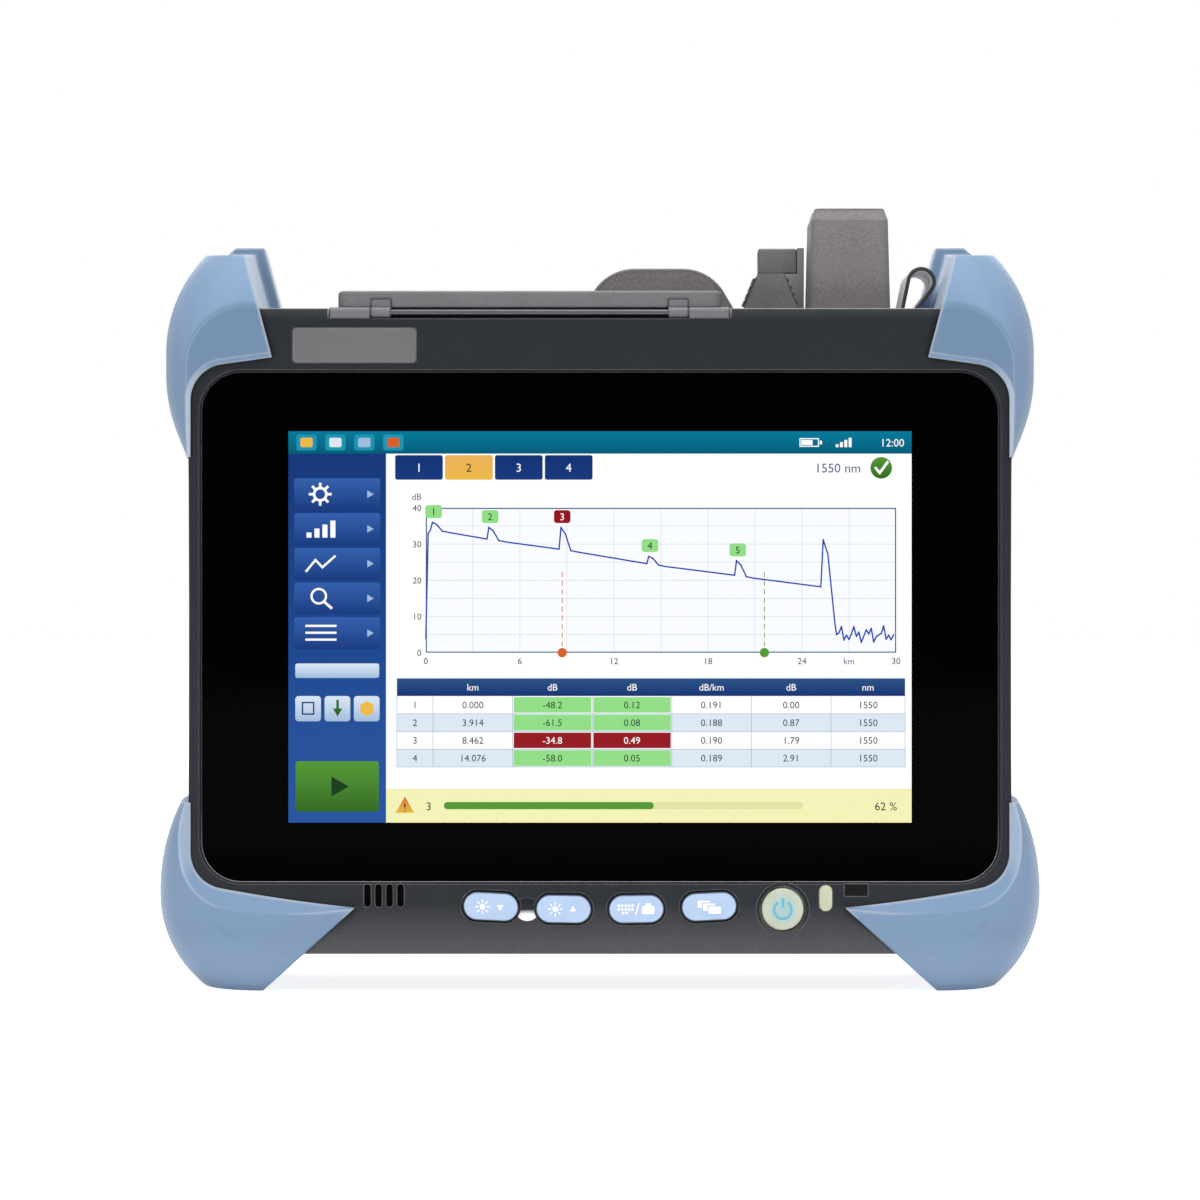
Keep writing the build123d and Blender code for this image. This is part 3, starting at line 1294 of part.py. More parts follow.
def kick_stand():
    """The folding leg: a barrel on the pivot pin and a plate with a finger notch in its foot."""
    half = STAND_W / 2
    plate = block(
        (-half, half),
        (STAND_PIVOT_Y - STAND_T / 2, STAND_PIVOT_Y + STAND_T / 2),
        (STAND_FOOT_Z, STAND_PIVOT_Z),
    )
    plate = fillet(plate.edges().filter_by(Axis.Y).group_by(Axis.Z)[0], DOOR_R)
    plate += prism_x(Pos(STAND_PIVOT_Y, STAND_PIVOT_Z) * Circle(STAND_BARREL_D / 2), -half, half)
    notch = prism_y(Pos(0, STAND_FOOT_Z) * Circle(STAND_NOTCH_R), STAND_PIVOT_Y - STAND_T, REAR_Y)
    bore = Pos(STAND_PIVOT_Y, STAND_PIVOT_Z) * Circle(STAND_PIN_D / 2 + ROD_GAP)
    return plate - notch - prism_x(bore, -STAND_W, STAND_W)


def stand_pin():
    reach = STAND_W / 2 + STAND_GAP + POCKET_WALL / 2
    return prism_x(Pos(STAND_PIVOT_Y, STAND_PIVOT_Z) * Circle(STAND_PIN_D / 2), -reach, reach)


def stand_pads():
    """Two rubber strips glued to the leg's hidden side near its foot."""
    y = STAND_PIVOT_Y - STAND_T / 2
    z = (STAND_FOOT_Z + STAND_PAD_H / 2, STAND_FOOT_Z + STAND_PAD_H * 1.5)
    centre = STAND_W / 2 - STAND_PAD_W / 2 - STAND_PAD_H
    return group(
        block(around(side * centre, STAND_PAD_W), (y - STAND_PAD_T, y), z) for side in (-1, 1)
    )


# Cooling


def fan_frame():
    rear = INNER_REAR_Y
    square = Pos(FAN_X, FAN_Z) * RectangleRounded(FAN_SIZE, FAN_SIZE, BATTERY_DOOR_T)
    frame = prism_y(square, rear - FAN_D, rear)
    frame -= prism_y(Pos(FAN_X, FAN_Z) * Circle(FAN_BORE_D / 2), rear - FAN_D - WALL, rear + WALL)
    base = (rear - FAN_D, rear - FAN_D + FAN_FLOOR)
    for angle in (0, 60, 120):
        strut = Pos(FAN_X, FAN_Z) * Rot(0, 0, angle) * Rectangle(FAN_BORE_D + FAN_FLOOR, FAN_FLOOR * 1.5)
        frame += prism_y(strut, *base)
    frame += prism_y(Pos(FAN_X, FAN_Z) * Circle(FAN_HUB_D / 2), *base)
    return frame + prism_y(Pos(FAN_X, FAN_Z) * Circle(FAN_AXLE_D / 2), base[0], rear - FAN_FLOOR)


def fan_rotor():
    """Hub and twisted blades on the frame's axle."""
    rear = INNER_REAR_Y
    front = rear - FAN_D + FAN_FLOOR + FIT_GAP * 3
    back = rear - FAN_FLOOR
    centre = Pos(FAN_X, FAN_Z)
    rotor = prism_y(centre * Circle(FAN_HUB_D / 2), front, back)
    reach = FAN_BORE_D / 2 - FAN_TIP_GAP
    middle = (front + back) / 2
    for i in range(FAN_BLADES):
        turn = i * 360 / FAN_BLADES
        blade = Box(reach - FAN_HUB_D / 2 + FAN_BLADE_T, FAN_BLADE_T, back - front - FAN_BLADE_T)
        blade = Rot(35, 0, 0) * blade
        blade = Pos((reach + FAN_HUB_D / 2 - FAN_BLADE_T) / 2, 0, 0) * blade
        upright = Pos(FAN_X, middle, FAN_Z) * Rot(90, 0, 0) * Rot(0, 0, turn)
        rotor += upright * blade
    rotor &= prism_y(centre * Circle(reach), front, back)
    bore = centre * Circle(FAN_AXLE_D / 2 + ROD_GAP)
    return rotor - prism_y(bore, front - WALL, back + WALL)


def heat_sink():
    y = MAIN_BOARD_Y + BOARD_T
    x, z = FAN_X, FAN_Z - FAN_SIZE / 4
    sink = block(around(x, SINK_W), (y, y + SINK_BASE), around(z, SINK_H))
    step = (SINK_W - SINK_FIN_T) / (SINK_FINS - 1)
    for i in range(SINK_FINS):
        fin = x - (SINK_W - SINK_FIN_T) / 2 + i * step
        sink += block(around(fin, SINK_FIN_T), (y + SINK_BASE, y + SINK_BASE + SINK_FIN_H), around(z, SINK_H))
    return sink


# Screws


def screw(x, z, head_rear_y, length):
    """A socket screw whose head faces the rear."""
    head_front = head_rear_y - SCREW_HEAD_T
    solid = prism_y(Pos(x, z) * Circle(SCREW_HEAD_D / 2), head_front, head_rear_y)
    solid += prism_y(Pos(x, z) * Circle(SCREW_D / 2), head_front - length, head_front)
    drive = Pos(x, z) * RegularPolygon(SCREW_DRIVE_W / 2, 6)
    return solid - prism_y(drive, head_rear_y - SCREW_DRIVE_DEEP, head_rear_y + WALL)


def shell_screws():
    rear = REAR_Y - SCREW_SINK
    length = rear - SCREW_HEAD_T - SPLIT_Y + SHELL_SCREW_BITE
    return group(screw(x, z, rear, length) for x, z in shell_screw_places())


def battery_screws():
    length = SHELL_SCREW_BITE - BATTERY_DOOR_T
    rear = REAR_Y - BATTERY_HEAD_SINK + SCREW_HEAD_T
    return group(screw(x, z, rear, length) for x, z in battery_screw_places())


PIECES = {
    "front_shell": front_shell,
    "rear_shell": rear_shell,
    "touch_glass": touch_glass,
    "display_panel": display_panel,
    "chassis_frame": chassis_frame,
    "main_board": main_board,
    "power_key": power_key,
    "status_lamp": status_lamp,
    "sensor_window": sensor_window,
    "label_plate": label_plate,
    "key_board": key_board,
    "dome_switches": dome_switches,
    "speaker": speaker,
    "port_door": port_door,
    "door_seal": door_seal,
    "hinge_rod": hinge_rod,
    "hinge_brackets": hinge_brackets,
    "port_panel": port_panel,
    "power_jack": power_jack,
    "port_board": port_board,
    "module_case": module_case,
    "module_panel": module_panel,
    "module_board": module_board,
    "laser_block": laser_block,
    "test_port": test_port,
    "test_port_cover": test_port_cover,
    "meter_port": meter_port,
    "meter_cap": meter_cap,
    "adapter_body": adapter_body,
    "adapter_cap": adapter_cap,
    "pull_grip": pull_grip,
    "pen_loop": pen_loop,
    "loop_anchor": loop_anchor,
    "battery_pack": battery_pack,
    "battery_door": battery_door,
    "kick_stand": kick_stand,
    "stand_pin": stand_pin,
    "stand_pads": stand_pads,
    "fan_frame": fan_frame,
    "fan_rotor": fan_rotor,
    "heat_sink": heat_sink,
    "shell_screws": shell_screws,
    "battery_screws": battery_screws,
}


def main():
    os.makedirs("parts", exist_ok=True)
    shapes = {name: make() for name, make in PIECES.items()}
    for name, place in zip(KEY_NAMES, key_places()):
        shapes[name] = key(place)
    for level, make in (("upper", upper_bumper), ("lower", lower_bumper)):
        right = make()
        shapes[f"{level}_right_bumper"] = right
        shapes[f"{level}_left_bumper"] = mirror(right, about=Plane.YZ)
    for i, x in enumerate(USB_XS, 1):
        shapes[f"usb_socket_{i}"] = usb_socket(x)
    for i, x in enumerate(JACK_XS, 1):
        shapes[f"network_jack_{i}"] = network_jack(x)
    shapes["sound_jack"] = round_jack(SOUND_JACK_X, SOUND_JACK_W, SOUND_JACK_BORE_D)
    for name, shape in shapes.items():
        export_step(shape, f"parts/{name}.step")


main()
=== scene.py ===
"""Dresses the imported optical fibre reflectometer: finishes, screen picture, key marks, contacts and strap."""

from math import atan2, cos, pi, radians, sin, sqrt

import bmesh
import bpy
from bpy.props import FloatProperty, FloatVectorProperty, PointerProperty
from mathutils import Matrix, Vector


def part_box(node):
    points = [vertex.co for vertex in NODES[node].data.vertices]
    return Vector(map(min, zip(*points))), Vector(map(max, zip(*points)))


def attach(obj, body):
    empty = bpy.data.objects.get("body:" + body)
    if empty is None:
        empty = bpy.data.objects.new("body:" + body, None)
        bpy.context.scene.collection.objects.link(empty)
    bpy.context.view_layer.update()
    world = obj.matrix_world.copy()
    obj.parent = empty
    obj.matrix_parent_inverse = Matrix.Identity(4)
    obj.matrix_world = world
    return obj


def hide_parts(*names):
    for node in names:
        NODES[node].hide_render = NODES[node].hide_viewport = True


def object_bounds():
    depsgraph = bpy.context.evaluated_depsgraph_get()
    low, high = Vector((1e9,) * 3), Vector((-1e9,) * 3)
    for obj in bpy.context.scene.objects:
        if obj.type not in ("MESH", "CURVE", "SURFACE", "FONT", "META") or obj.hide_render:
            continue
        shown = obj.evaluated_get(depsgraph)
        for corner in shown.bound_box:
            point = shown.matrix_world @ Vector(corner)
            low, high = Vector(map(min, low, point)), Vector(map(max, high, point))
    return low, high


bl_info = {
    "name": "Fibre Reflectometer",
    "version": (1, 0, 0),
    "blender": (4, 5, 0),
    "location": "View3D > Sidebar > Reflectometer",
    "description": "Finishes, screen picture, key marks and strap of a handheld fibre reflectometer",
    "category": "Object",
}

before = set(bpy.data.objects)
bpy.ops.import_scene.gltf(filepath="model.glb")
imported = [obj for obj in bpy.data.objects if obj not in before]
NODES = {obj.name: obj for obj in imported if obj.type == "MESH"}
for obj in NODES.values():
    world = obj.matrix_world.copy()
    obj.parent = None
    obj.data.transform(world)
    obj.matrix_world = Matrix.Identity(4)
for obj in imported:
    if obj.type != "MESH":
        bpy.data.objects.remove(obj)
CAD_BOX = [list(corner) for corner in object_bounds()]
MM = 0.001
HOUSING = "housing"
LAYER = 0.025 * MM  # one printed or lit layer over another
GRAIN = 0.35 * MM  # spark texture of the mouldings
GRAIN_DEPTH = 0.012 * MM
PATCH = 22 * MM  # cloudy patches in a moulding's colour
SCUFF = 9 * MM  # patches that handling makes shinier or duller
EDGE = 0.25 * MM  # radius of moulded edges
EDGE_SHADE_REACH = 0.9 * MM  # reach of the painted shade along the edges of pieces that are gripped
PURE_WHITE = (1.0, 1.0, 1.0)
# near-black of painted shade, in joints and along the edges of gripped pieces
PAINTED_SHADE = (0.004, 0.004, 0.005)
REFLECTION_FULL, REFLECTION_END = 24 * MM, 6 * MM  # below the glass: where the painted reflection of the floor is fullest, and where it ends
TOP_HIGHLIGHT = 3 * MM  # height of the painted highlight along the shells' top edges
DIMPLE_OUT = 1.7 * MM  # centre of the ball that hollows the dimple, in front of the keys
DIMPLE_REACH = 4.3 * MM  # just past the dimple's wall
CREASE = 1.2 * MM  # reach of the painted highlights along the bumpers' creases
CREASE_LOW = 14.2 * MM  # where the lower bumpers' creases begin, at the middle of the instrument
CREASE_SLANT = 0.095  # rise of that level towards the outer ends
FOOT_LIGHT_FULL, FOOT_LIGHT_END = 4 * MM, 17 * MM  # where the painted light on the feet is fullest, and where it ends
INWARD, NOT_INWARD = -80 * MM, -30 * MM  # a place's distance aside times its normal's sideways share
RIGHT, BACK, UP = Vector((1, 0, 0)), Vector((0, 1, 0)), Vector((0, 0, 1))
GLASS_LOW, GLASS_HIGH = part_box("touch_glass")


def srgb(red, green, blue):
    """A display colour, 0 to 255, as the linear colour that shaders take."""
    channels = []
    for value in (red, green, blue):
        share = value / 255
        channels.append(share / 12.92 if share <= 0.04045 else ((share + 0.055) / 1.055) ** 2.4)
    return tuple(channels)


def colour_property(name, description, *tint):
    return FloatVectorProperty(
        name=name, description=description, default=srgb(*tint), subtype="COLOR", size=3, min=0.0, max=1.0
    )


def length_property(name, description, default):
    return FloatProperty(
        name=name, description=description, default=default, subtype="DISTANCE", unit="LENGTH"
    )


class ReflectometerFinishes(bpy.types.PropertyGroup):
    """Colours of the moulded, rubber and metal pieces"""

    shell: colour_property("Housing", "Dark grained housing plastic", 26, 30, 36)
    # painted reflection of the floor: the housing's lower band is painted paler
    rubbed: colour_property("Rubbed housing", "Housing plastic that hands have rubbed", 110, 110, 113)
    band: colour_property("Rear", "Leg and battery door plastic", 24, 27, 32)
    bumper: colour_property("Bumpers", "Blue corner elastomer", 126, 152, 182)
    # painted shade: the upper bumpers' flat front lobes are painted darker
    lobe: colour_property("Bumper lobes", "Deeper blue of the upper corners' flat lobes", 108, 134, 164)
    # painted light: the lower bumpers' feet are painted paler
    foot: colour_property("Bumper feet", "Blue of the lower corners' rubbed feet", 160, 186, 216)
    # painted highlight: the bumpers' faces towards the middle are painted paler
    lining: colour_property("Bumper linings", "Paler blue of the corners' inner faces", 214, 226, 240)
    plate: colour_property("Plate", "Bare label plate", 98, 96, 99)
    door: colour_property("Port door", "Mid-grey port door plastic", 112, 112, 115)
    rod: colour_property("Hinge rod", "Blackened steel of the hinge rod", 74, 75, 79)
    boot: colour_property("Boots", "Grained grey of the port cover and grip", 134, 128, 128)
    cap: colour_property("Caps", "Dust caps of the small ports", 122, 119, 120)
    black: colour_property("Black", "Black moulded pieces", 24, 24, 26)
    key: colour_property("Keys", "Pale blue keys", 173, 196, 229)
    # painted shade: the keys' rim is painted dark
    skirt: colour_property("Key skirts", "Dark rim of the keys", 38, 48, 70)
    power: colour_property("Power key", "Pale green power key", 190, 197, 176)
    power_glow: colour_property("Power key middle", "Blue tint round the power sign", 140, 190, 202)
    lamp: colour_property("Lamp", "Unlit status lamp", 190, 195, 164)
    mark: colour_property("Key marks", "White print on the keys", 250, 252, 255)
    power_mark: colour_property("Power mark", "Cyan print on the power key", 92, 176, 204)
    webbing: colour_property("Strap", "Woven strap face", 244, 244, 245)
    # painted shade: the strap's edge faces are painted dark
    binding: colour_property("Strap edge", "Bound edge of the strap", 58, 58, 62)
    board: colour_property("Boards", "Circuit board lacquer", 24, 92, 52)


class ReflectometerSizes(bpy.types.PropertyGroup):
    """Sizes of what is added to the solids"""

    screen_width: length_property("Screen width", "Width of the lit area", 172.3 * MM)
    screen_height: length_property("Screen height", "Height of the lit area", 108.2 * MM)
    strap_width: length_property("Strap width", "Width of the webbing", 19.0 * MM)
    strap_thickness: length_property("Strap thickness", "Thickness of the webbing", 1.1 * MM)
    strap_radius: length_property("Strap loop", "Radius of the loop's middle line", 3.7 * MM)
    strap_margin: length_property("Strap margin", "Anchor beside the strap's feet", 1.4 * MM)
    strap_weave: length_property("Weave", "Spacing of the strap's cross threads", 0.9 * MM)
    contact_width: length_property("Contacts", "Width of a socket contact", 0.55 * MM)
    camera_distance: length_property("Camera distance", "Camera to the glass", 0.8)
    camera_height: length_property("Camera height", "Camera above the floor", 0.1095)
    camera_lens: FloatProperty(name="Lens", description="Focal length in millimetres", default=86.8, min=10.0)


class ReflectometerSettings(bpy.types.PropertyGroup):
    """All settings of the reflectometer"""

    finishes: PointerProperty(type=ReflectometerFinishes)
    sizes: PointerProperty(type=ReflectometerSizes)


def settings():
    return bpy.context.scene.reflectometer


def finish_colour(name):
    return tuple(getattr(settings().finishes, name))


def node_centre(node):
    low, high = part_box(node)
    return (low + high) / 2


# Materials


class Shade:
    """A node material in the making: its tree, its shader, its paint so far and its coordinates."""

    def __init__(self, name, colour, roughness, metallic=0.0, gloss=0.5):
        self.material = bpy.data.materials.new(name)
        self.material.use_nodes = True
        self.tree = self.material.node_tree
        self.shader = self.tree.nodes["Principled BSDF"]
        self.colour = colour
        self.paint = (*colour, 1.0)
        self.roughness = roughness
        self.set("Base Color", self.paint)
        self.set("Roughness", roughness)
        self.set("Metallic", metallic)
        self.set("Specular IOR Level", gloss)
        self.place = self.node("ShaderNodeTexCoord").outputs["Object"]

    def set(self, socket, value):
        self.shader.inputs[socket].default_value = value

    def node(self, kind, **values):
        made = self.tree.nodes.new(kind)
        for name, value in values.items():
            if hasattr(made, name):
                setattr(made, name, value)
            else:
                made.inputs[name.replace("_", " ")].default_value = value
        return made

    def link(self, start, end):
        self.tree.links.new(start, end)

    def repaint(self, colour):
        """Sends a colour to the shader, on top of what was painted before."""
        self.paint = colour
        self.link(colour, self.shader.inputs["Base Color"])
        return self

    def mix(self, factor, first, second, mode="MIX"):
        """Mixes two colours. Each value is a socket or a constant."""
        mix = self.node("ShaderNodeMix", data_type="RGBA", blend_type=mode)
        sockets = {socket.identifier: socket for socket in mix.inputs}
        for name, value in (("Factor_Float", factor), ("A_Color", first), ("B_Color", second)):
            if isinstance(value, bpy.types.NodeSocket):
                self.link(value, sockets[name])
            else:
                sockets[name].default_value = value
        return next(socket for socket in mix.outputs if socket.identifier == "Result_Color")

    def noise(self, size, detail=3.0, stretch=(1, 1, 1)):
        """Noise whose grains are about this size, drawn out along the axes by stretch."""
        mapping = self.node("ShaderNodeMapping")
        mapping.inputs["Scale"].default_value = [1 / value for value in stretch]
        self.link(self.place, mapping.inputs["Vector"])
        noise = self.node("ShaderNodeTexNoise", Scale=1 / size, Detail=detail)
        self.link(mapping.outputs["Vector"], noise.inputs["Vector"])
        return noise.outputs["Fac"]

    def spread(self, value, low, high, start=0.3, end=0.7):
        """Maps a value between start and end, the middle of a noise, to a range."""
        spread = self.node("ShaderNodeMapRange")
        for name, number in (("From Min", start), ("From Max", end), ("To Min", low), ("To Max", high)):
            spread.inputs[name].default_value = number
        self.link(value, spread.inputs["Value"])
        return spread.outputs["Result"]

    def along(self, way, low, high, start, end):
        """Maps how far a point lies along a direction, between start and end, to a range."""
        far = self.node("ShaderNodeVectorMath", operation="DOT_PRODUCT")
        self.link(self.place, far.inputs[0])
        far.inputs[1].default_value = way
        return self.spread(far.outputs["Value"], low, high, start, end)

    def product(self, first, second):
        times = self.node("ShaderNodeMath", operation="MULTIPLY")
        self.link(first, times.inputs[0])
        self.link(second, times.inputs[1])
        return times.outputs[0]

    def near(self, centre, radius, soft):
        """1 inside a ball round a point, 0 outside, with a soft edge."""
        reach = self.node("ShaderNodeVectorMath", operation="DISTANCE")
        self.link(self.place, reach.inputs[0])
        reach.inputs[1].default_value = centre
        return self.spread(reach.outputs["Value"], 1.0, 0.0, radius - soft, radius)

    def tint(self, mask, colour):
        """Paints a colour where a mask is 1."""
        return self.repaint(self.mix(mask, self.paint, (*colour, 1.0)))

    def mottle(self, size, amount, detail=3.0):
        """Varies the paint a little in patches."""
        patches = self.spread(self.noise(size, detail), 1 - amount, 1 + amount)
        return self.repaint(self.mix(1.0, self.paint, patches, "MULTIPLY"))

    def turned(self, radius, amount, start=0.985, end=0.8):
        """The amount where the surface turns within this radius, as at edges, and 0 elsewhere.

        The turn is a cosine: an edge begins at start and is full at end.
        """
        bevel = self.node("ShaderNodeBevel", samples=6, Radius=radius)
        turn = self.node("ShaderNodeVectorMath", operation="DOT_PRODUCT")
        self.link(bevel.outputs["Normal"], turn.inputs[0])
        self.link(self.node("ShaderNodeNewGeometry").outputs["Normal"], turn.inputs[1])
        return self.spread(turn.outputs["Value"], 0.0, amount, start, end)

    def facing_in(self, amount):
        """The amount on faces that look towards the instrument's middle, and 0 elsewhere."""
        aside = self.node("ShaderNodeVectorMath", operation="MULTIPLY")
        self.link(self.place, aside.inputs[0])
        aside.inputs[1].default_value = RIGHT
        look = self.node("ShaderNodeVectorMath", operation="DOT_PRODUCT")
        self.link(aside.outputs[0], look.inputs[0])
        self.link(self.node("ShaderNodeNewGeometry").outputs["Normal"], look.inputs[1])
        return self.spread(look.outputs["Value"], amount, 0.0, INWARD, NOT_INWARD)

    def worn(self, radius, amount):
        """Lightens the paint along edges: partly wear, partly a painted highlight."""
        return self.tint(self.turned(radius, amount), PURE_WHITE)

    def grime(self, reach, amount):
        """Darkens the paint within this reach of a step or a joint: painted shade."""
        open_share = self.node("ShaderNodeAmbientOcclusion", samples=8, Distance=reach).outputs["AO"]
        return self.tint(self.spread(open_share, amount, 0.0, 0.55, 0.92), PAINTED_SHADE)

    def scuff(self, size, amount):
        """Varies the roughness in patches, as handling does."""
        gloss = self.spread(self.noise(size, 5.0), self.roughness - amount, self.roughness + amount)
        self.link(gloss, self.shader.inputs["Roughness"])
        return self

    def relief(self, height, depth, edge=0.0):
        """Bump of this depth from a height, over edges that a small radius rounds."""
        bump = self.node("ShaderNodeBump", Distance=depth, Strength=1.0)
        self.link(height, bump.inputs["Height"])
        if edge:
            bevel = self.node("ShaderNodeBevel", samples=4, Radius=edge)
            self.link(bevel.outputs["Normal"], bump.inputs["Normal"])
        self.link(bump.outputs["Normal"], self.shader.inputs["Normal"])
        return self

    def grain(self, size, depth, edge=0.0):
        return self.relief(self.noise(size, 2.0), depth, edge)


def textured(name, colour, roughness, gloss, grain, speckle):
    """Spark-textured plastic, uneven in colour and shine."""
    shade = Shade(name, colour, roughness, gloss=gloss).mottle(PATCH, 0.07).mottle(grain, speckle, 1.0)
    return shade.scuff(SCUFF, 0.06)


def moulded(name, colour, roughness=0.5, grain=GRAIN, depth=GRAIN_DEPTH, gloss=0.3):
    """Moulded plastic, its edges painted a little paler: partly wear, partly a painted highlight."""
    shade = textured(name, colour, roughness, gloss, grain, 0.12).worn(EDGE, 0.1)
    return shade.grain(grain, depth, EDGE).material


def handled(name, colour, roughness, grain, depth, speckle, edge=EDGE_SHADE_REACH):
    """Grained plastic of pieces that fingers grip, with painted shade darkening their edges."""
    shade = textured(name, colour, roughness, 0.2, grain, speckle)
    # painted shade: the edges are darkened
    shade.tint(shade.turned(edge, 0.75, 0.995, 0.85), PAINTED_SHADE)
    return shade.grain(grain, depth, EDGE).material


def housing_plastic():
    """The shells' plastic: a painted reflection of the floor pales its lower band, painted highlights pale its
    edges, top rim and the dimple's lower half, painted shade darkens it beside steps and joints.
    """
    shade = Shade("housing_plastic", finish_colour("shell"), 0.45, gloss=0.16).mottle(PATCH, 0.07)
    # painted reflection of the floor, paler towards the bottom of the front
    rubbed = shade.along(UP, 0.75, 0.0, GLASS_LOW.z - REFLECTION_FULL, GLASS_LOW.z - REFLECTION_END)
    shade.tint(rubbed, finish_colour("rubbed")).mottle(GRAIN, 0.16, 1.0)
    # paler edges, partly wear and partly painted highlight; painted shade darkens beside steps and joints
    shade.worn(0.35 * MM, 0.3).grime(3 * MM, 0.95).scuff(SCUFF, 0.06)
    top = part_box("front_shell")[1].z
    # painted highlight along the shells' top edges
    top_highlight_band = shade.along(UP, 0.0, 1.0, top - TOP_HIGHLIGHT, top - TOP_HIGHLIGHT / 3)
    shade.tint(shade.product(shade.turned(0.7 * MM, 0.5, 0.998, 0.9), top_highlight_band), PURE_WHITE)
    # painted highlight: the lower half of the dimple between the first two keys is painted white
    first, second = node_centre("dim_key"), node_centre("bright_key")
    key_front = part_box("dim_key")[0].y
    dimple = Vector(((first.x + second.x) / 2, key_front - DIMPLE_OUT, node_centre("power_key").z))
    dimple_highlight = shade.along(UP, 1.0, 0.0, dimple.z - 1.5 * MM, dimple.z - 0.3 * MM)
    shade.tint(shade.product(dimple_highlight, shade.near(dimple, DIMPLE_REACH, 0.1 * MM)), PURE_WHITE)
    return shade.grain(GRAIN, GRAIN_DEPTH, EDGE).material


def bumper_rubber():
    """Satin over-moulded rubber: painted shade deepens the upper lobes, painted highlights pale the creases and
    inner faces, painted light pales the feet.
    """
    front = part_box("upper_left_bumper")[0].y
    shade = Shade("bumper_rubber", finish_colour("bumper"), 0.5, gloss=0.1).mottle(30 * MM, 0.035)
    # painted shade: the flat front lobes of the upper bumpers are darker
    flat = shade.along(BACK, 1.0, 0.0, front + 0.1 * MM, front + 0.5 * MM)
    upper = shade.along(UP, 0.0, 1.0, GLASS_HIGH.z - 60 * MM, GLASS_HIGH.z - 20 * MM)
    shade.tint(shade.product(flat, upper), finish_colour("lobe"))
    # painted highlight along the creases, above the feet, painted white below
    crease_highlight = shade.turned(CREASE, 0.3, 0.998, 0.94)
    for slant in (CREASE_SLANT, -CREASE_SLANT):
        above_foot = shade.along(UP + slant * RIGHT, 0.0, 1.0, CREASE_LOW, CREASE_LOW + MM)
        crease_highlight = shade.product(crease_highlight, above_foot)
    # painted highlight: faces that look towards the middle are painted paler
    shade.tint(crease_highlight, PURE_WHITE).tint(shade.facing_in(0.55), finish_colour("lining"))
    # painted light: the feet are painted paler towards the floor
    shade.tint(shade.along(UP, 0.6, 0.0, FOOT_LIGHT_FULL, FOOT_LIGHT_END), finish_colour("foot"))
    shade.set("Coat Weight", 0.15)
    shade.set("Coat Roughness", 0.2)
    return shade.scuff(14 * MM, 0.05).grain(0.22 * MM, 0.006 * MM, CREASE).material


def black_rubber(name, colour):
    """Matt black rubber of seals and pads, its edges a little paler: partly wear, partly a painted highlight.
    """
    shade = Shade(name, colour, 0.75, gloss=0.25).mottle(12 * MM, 0.08).worn(0.3 * MM, 0.1)
    return shade.scuff(6 * MM, 0.05).grain(0.22 * MM, 0.01 * MM, 0.3 * MM).material


def metal(name, colour, roughness=0.32, stretch=(14, 1, 1)):
    """Machined metal with fine marks along one axis."""
    shade = Shade(name, colour, roughness, 1.0).mottle(6 * MM, 0.05)
    return shade.relief(shade.noise(0.12 * MM, 2.0, stretch), 0.004 * MM, 0.12 * MM).material


def black_glass():
    """Anti-glare touch glass over a black printed border, with a trace of handling and a painted highlight
    along its edges, strongest at the bottom.
    """
    shade = Shade("touch_glass_black", (0.0003, 0.0003, 0.0004), 0.06, gloss=0.006)
    # painted highlight along the glass's edges, strongest at the bottom
    edge_highlight_share = shade.along(UP, 1.0, 0.2, GLASS_LOW.z, GLASS_LOW.z + 20 * MM)
    shade.tint(shade.product(shade.turned(0.35 * MM, 0.8), edge_highlight_share), PURE_WHITE)
    gloss = shade.spread(shade.noise(26 * MM, 4.0), 0.04, 0.11)
    shade.link(gloss, shade.shader.inputs["Roughness"])
    return shade.material


def clear_plastic(name, colour, middle=None, glow=None):
    """Cloudy translucent plastic, with a second tint round a point where one is given."""
    shade = Shade(name, colour, 0.3).mottle(3 * MM, 0.05)
    if middle:
        shade.tint(shade.near(middle, 5.6 * MM, 4.6 * MM), glow)
    shade.set("Subsurface Weight", 0.35)
    shade.set("Subsurface Radius", (1.5 * MM, 1.6 * MM, 1.2 * MM))
    shade.set("Coat Weight", 0.15)
    return shade.grain(0.5 * MM, 0.004 * MM, 0.2 * MM).material


def key_silicone():
    """Pale coated silicone of the keys, with a soft shine and painted shade round their rim."""
    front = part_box("dim_key")[0].y
    shade = Shade("key_silicone", finish_colour("key"), 0.42).mottle(6 * MM, 0.03)
    # painted shade round the keys' rim, back from the front face
    shade.tint(shade.along(BACK, 0.0, 1.0, front + 0.03 * MM, front + 0.12 * MM), finish_colour("skirt"))
    shade.set("Coat Weight", 0.2)
    return shade.grain(0.25 * MM, 0.004 * MM, 0.3 * MM).material


def plate_paint():
    """Satin metallic paint of the bare label plate, its edges paler: partly wear, partly a painted highlight.
    """
    shade = Shade("plate_paint", finish_colour("plate"), 0.4, 0.35).mottle(12 * MM, 0.04).worn(0.3 * MM, 0.15)
    return shade.grain(0.15 * MM, 0.003 * MM, 0.2 * MM).material


def circuit_board():
    """Lacquered board with copper showing through as fine tracks."""
    shade = Shade("board_lacquer", finish_colour("board"), 0.38)
    tracks = shade.node("ShaderNodeTexBrick", Scale=1 / (9 * MM), Mortar_Size=0.04)
    shade.link(shade.place, tracks.inputs["Vector"])
    tracks.inputs["Color1"].default_value = (*shade.colour, 1.0)
    tracks.inputs["Color2"].default_value = (*(0.8 * c for c in shade.colour), 1.0)
    tracks.inputs["Mortar"].default_value = (*srgb(60, 140, 84), 1.0)
    return shade.repaint(tracks.outputs["Color"]).grain(0.6 * MM, 0.01 * MM).material


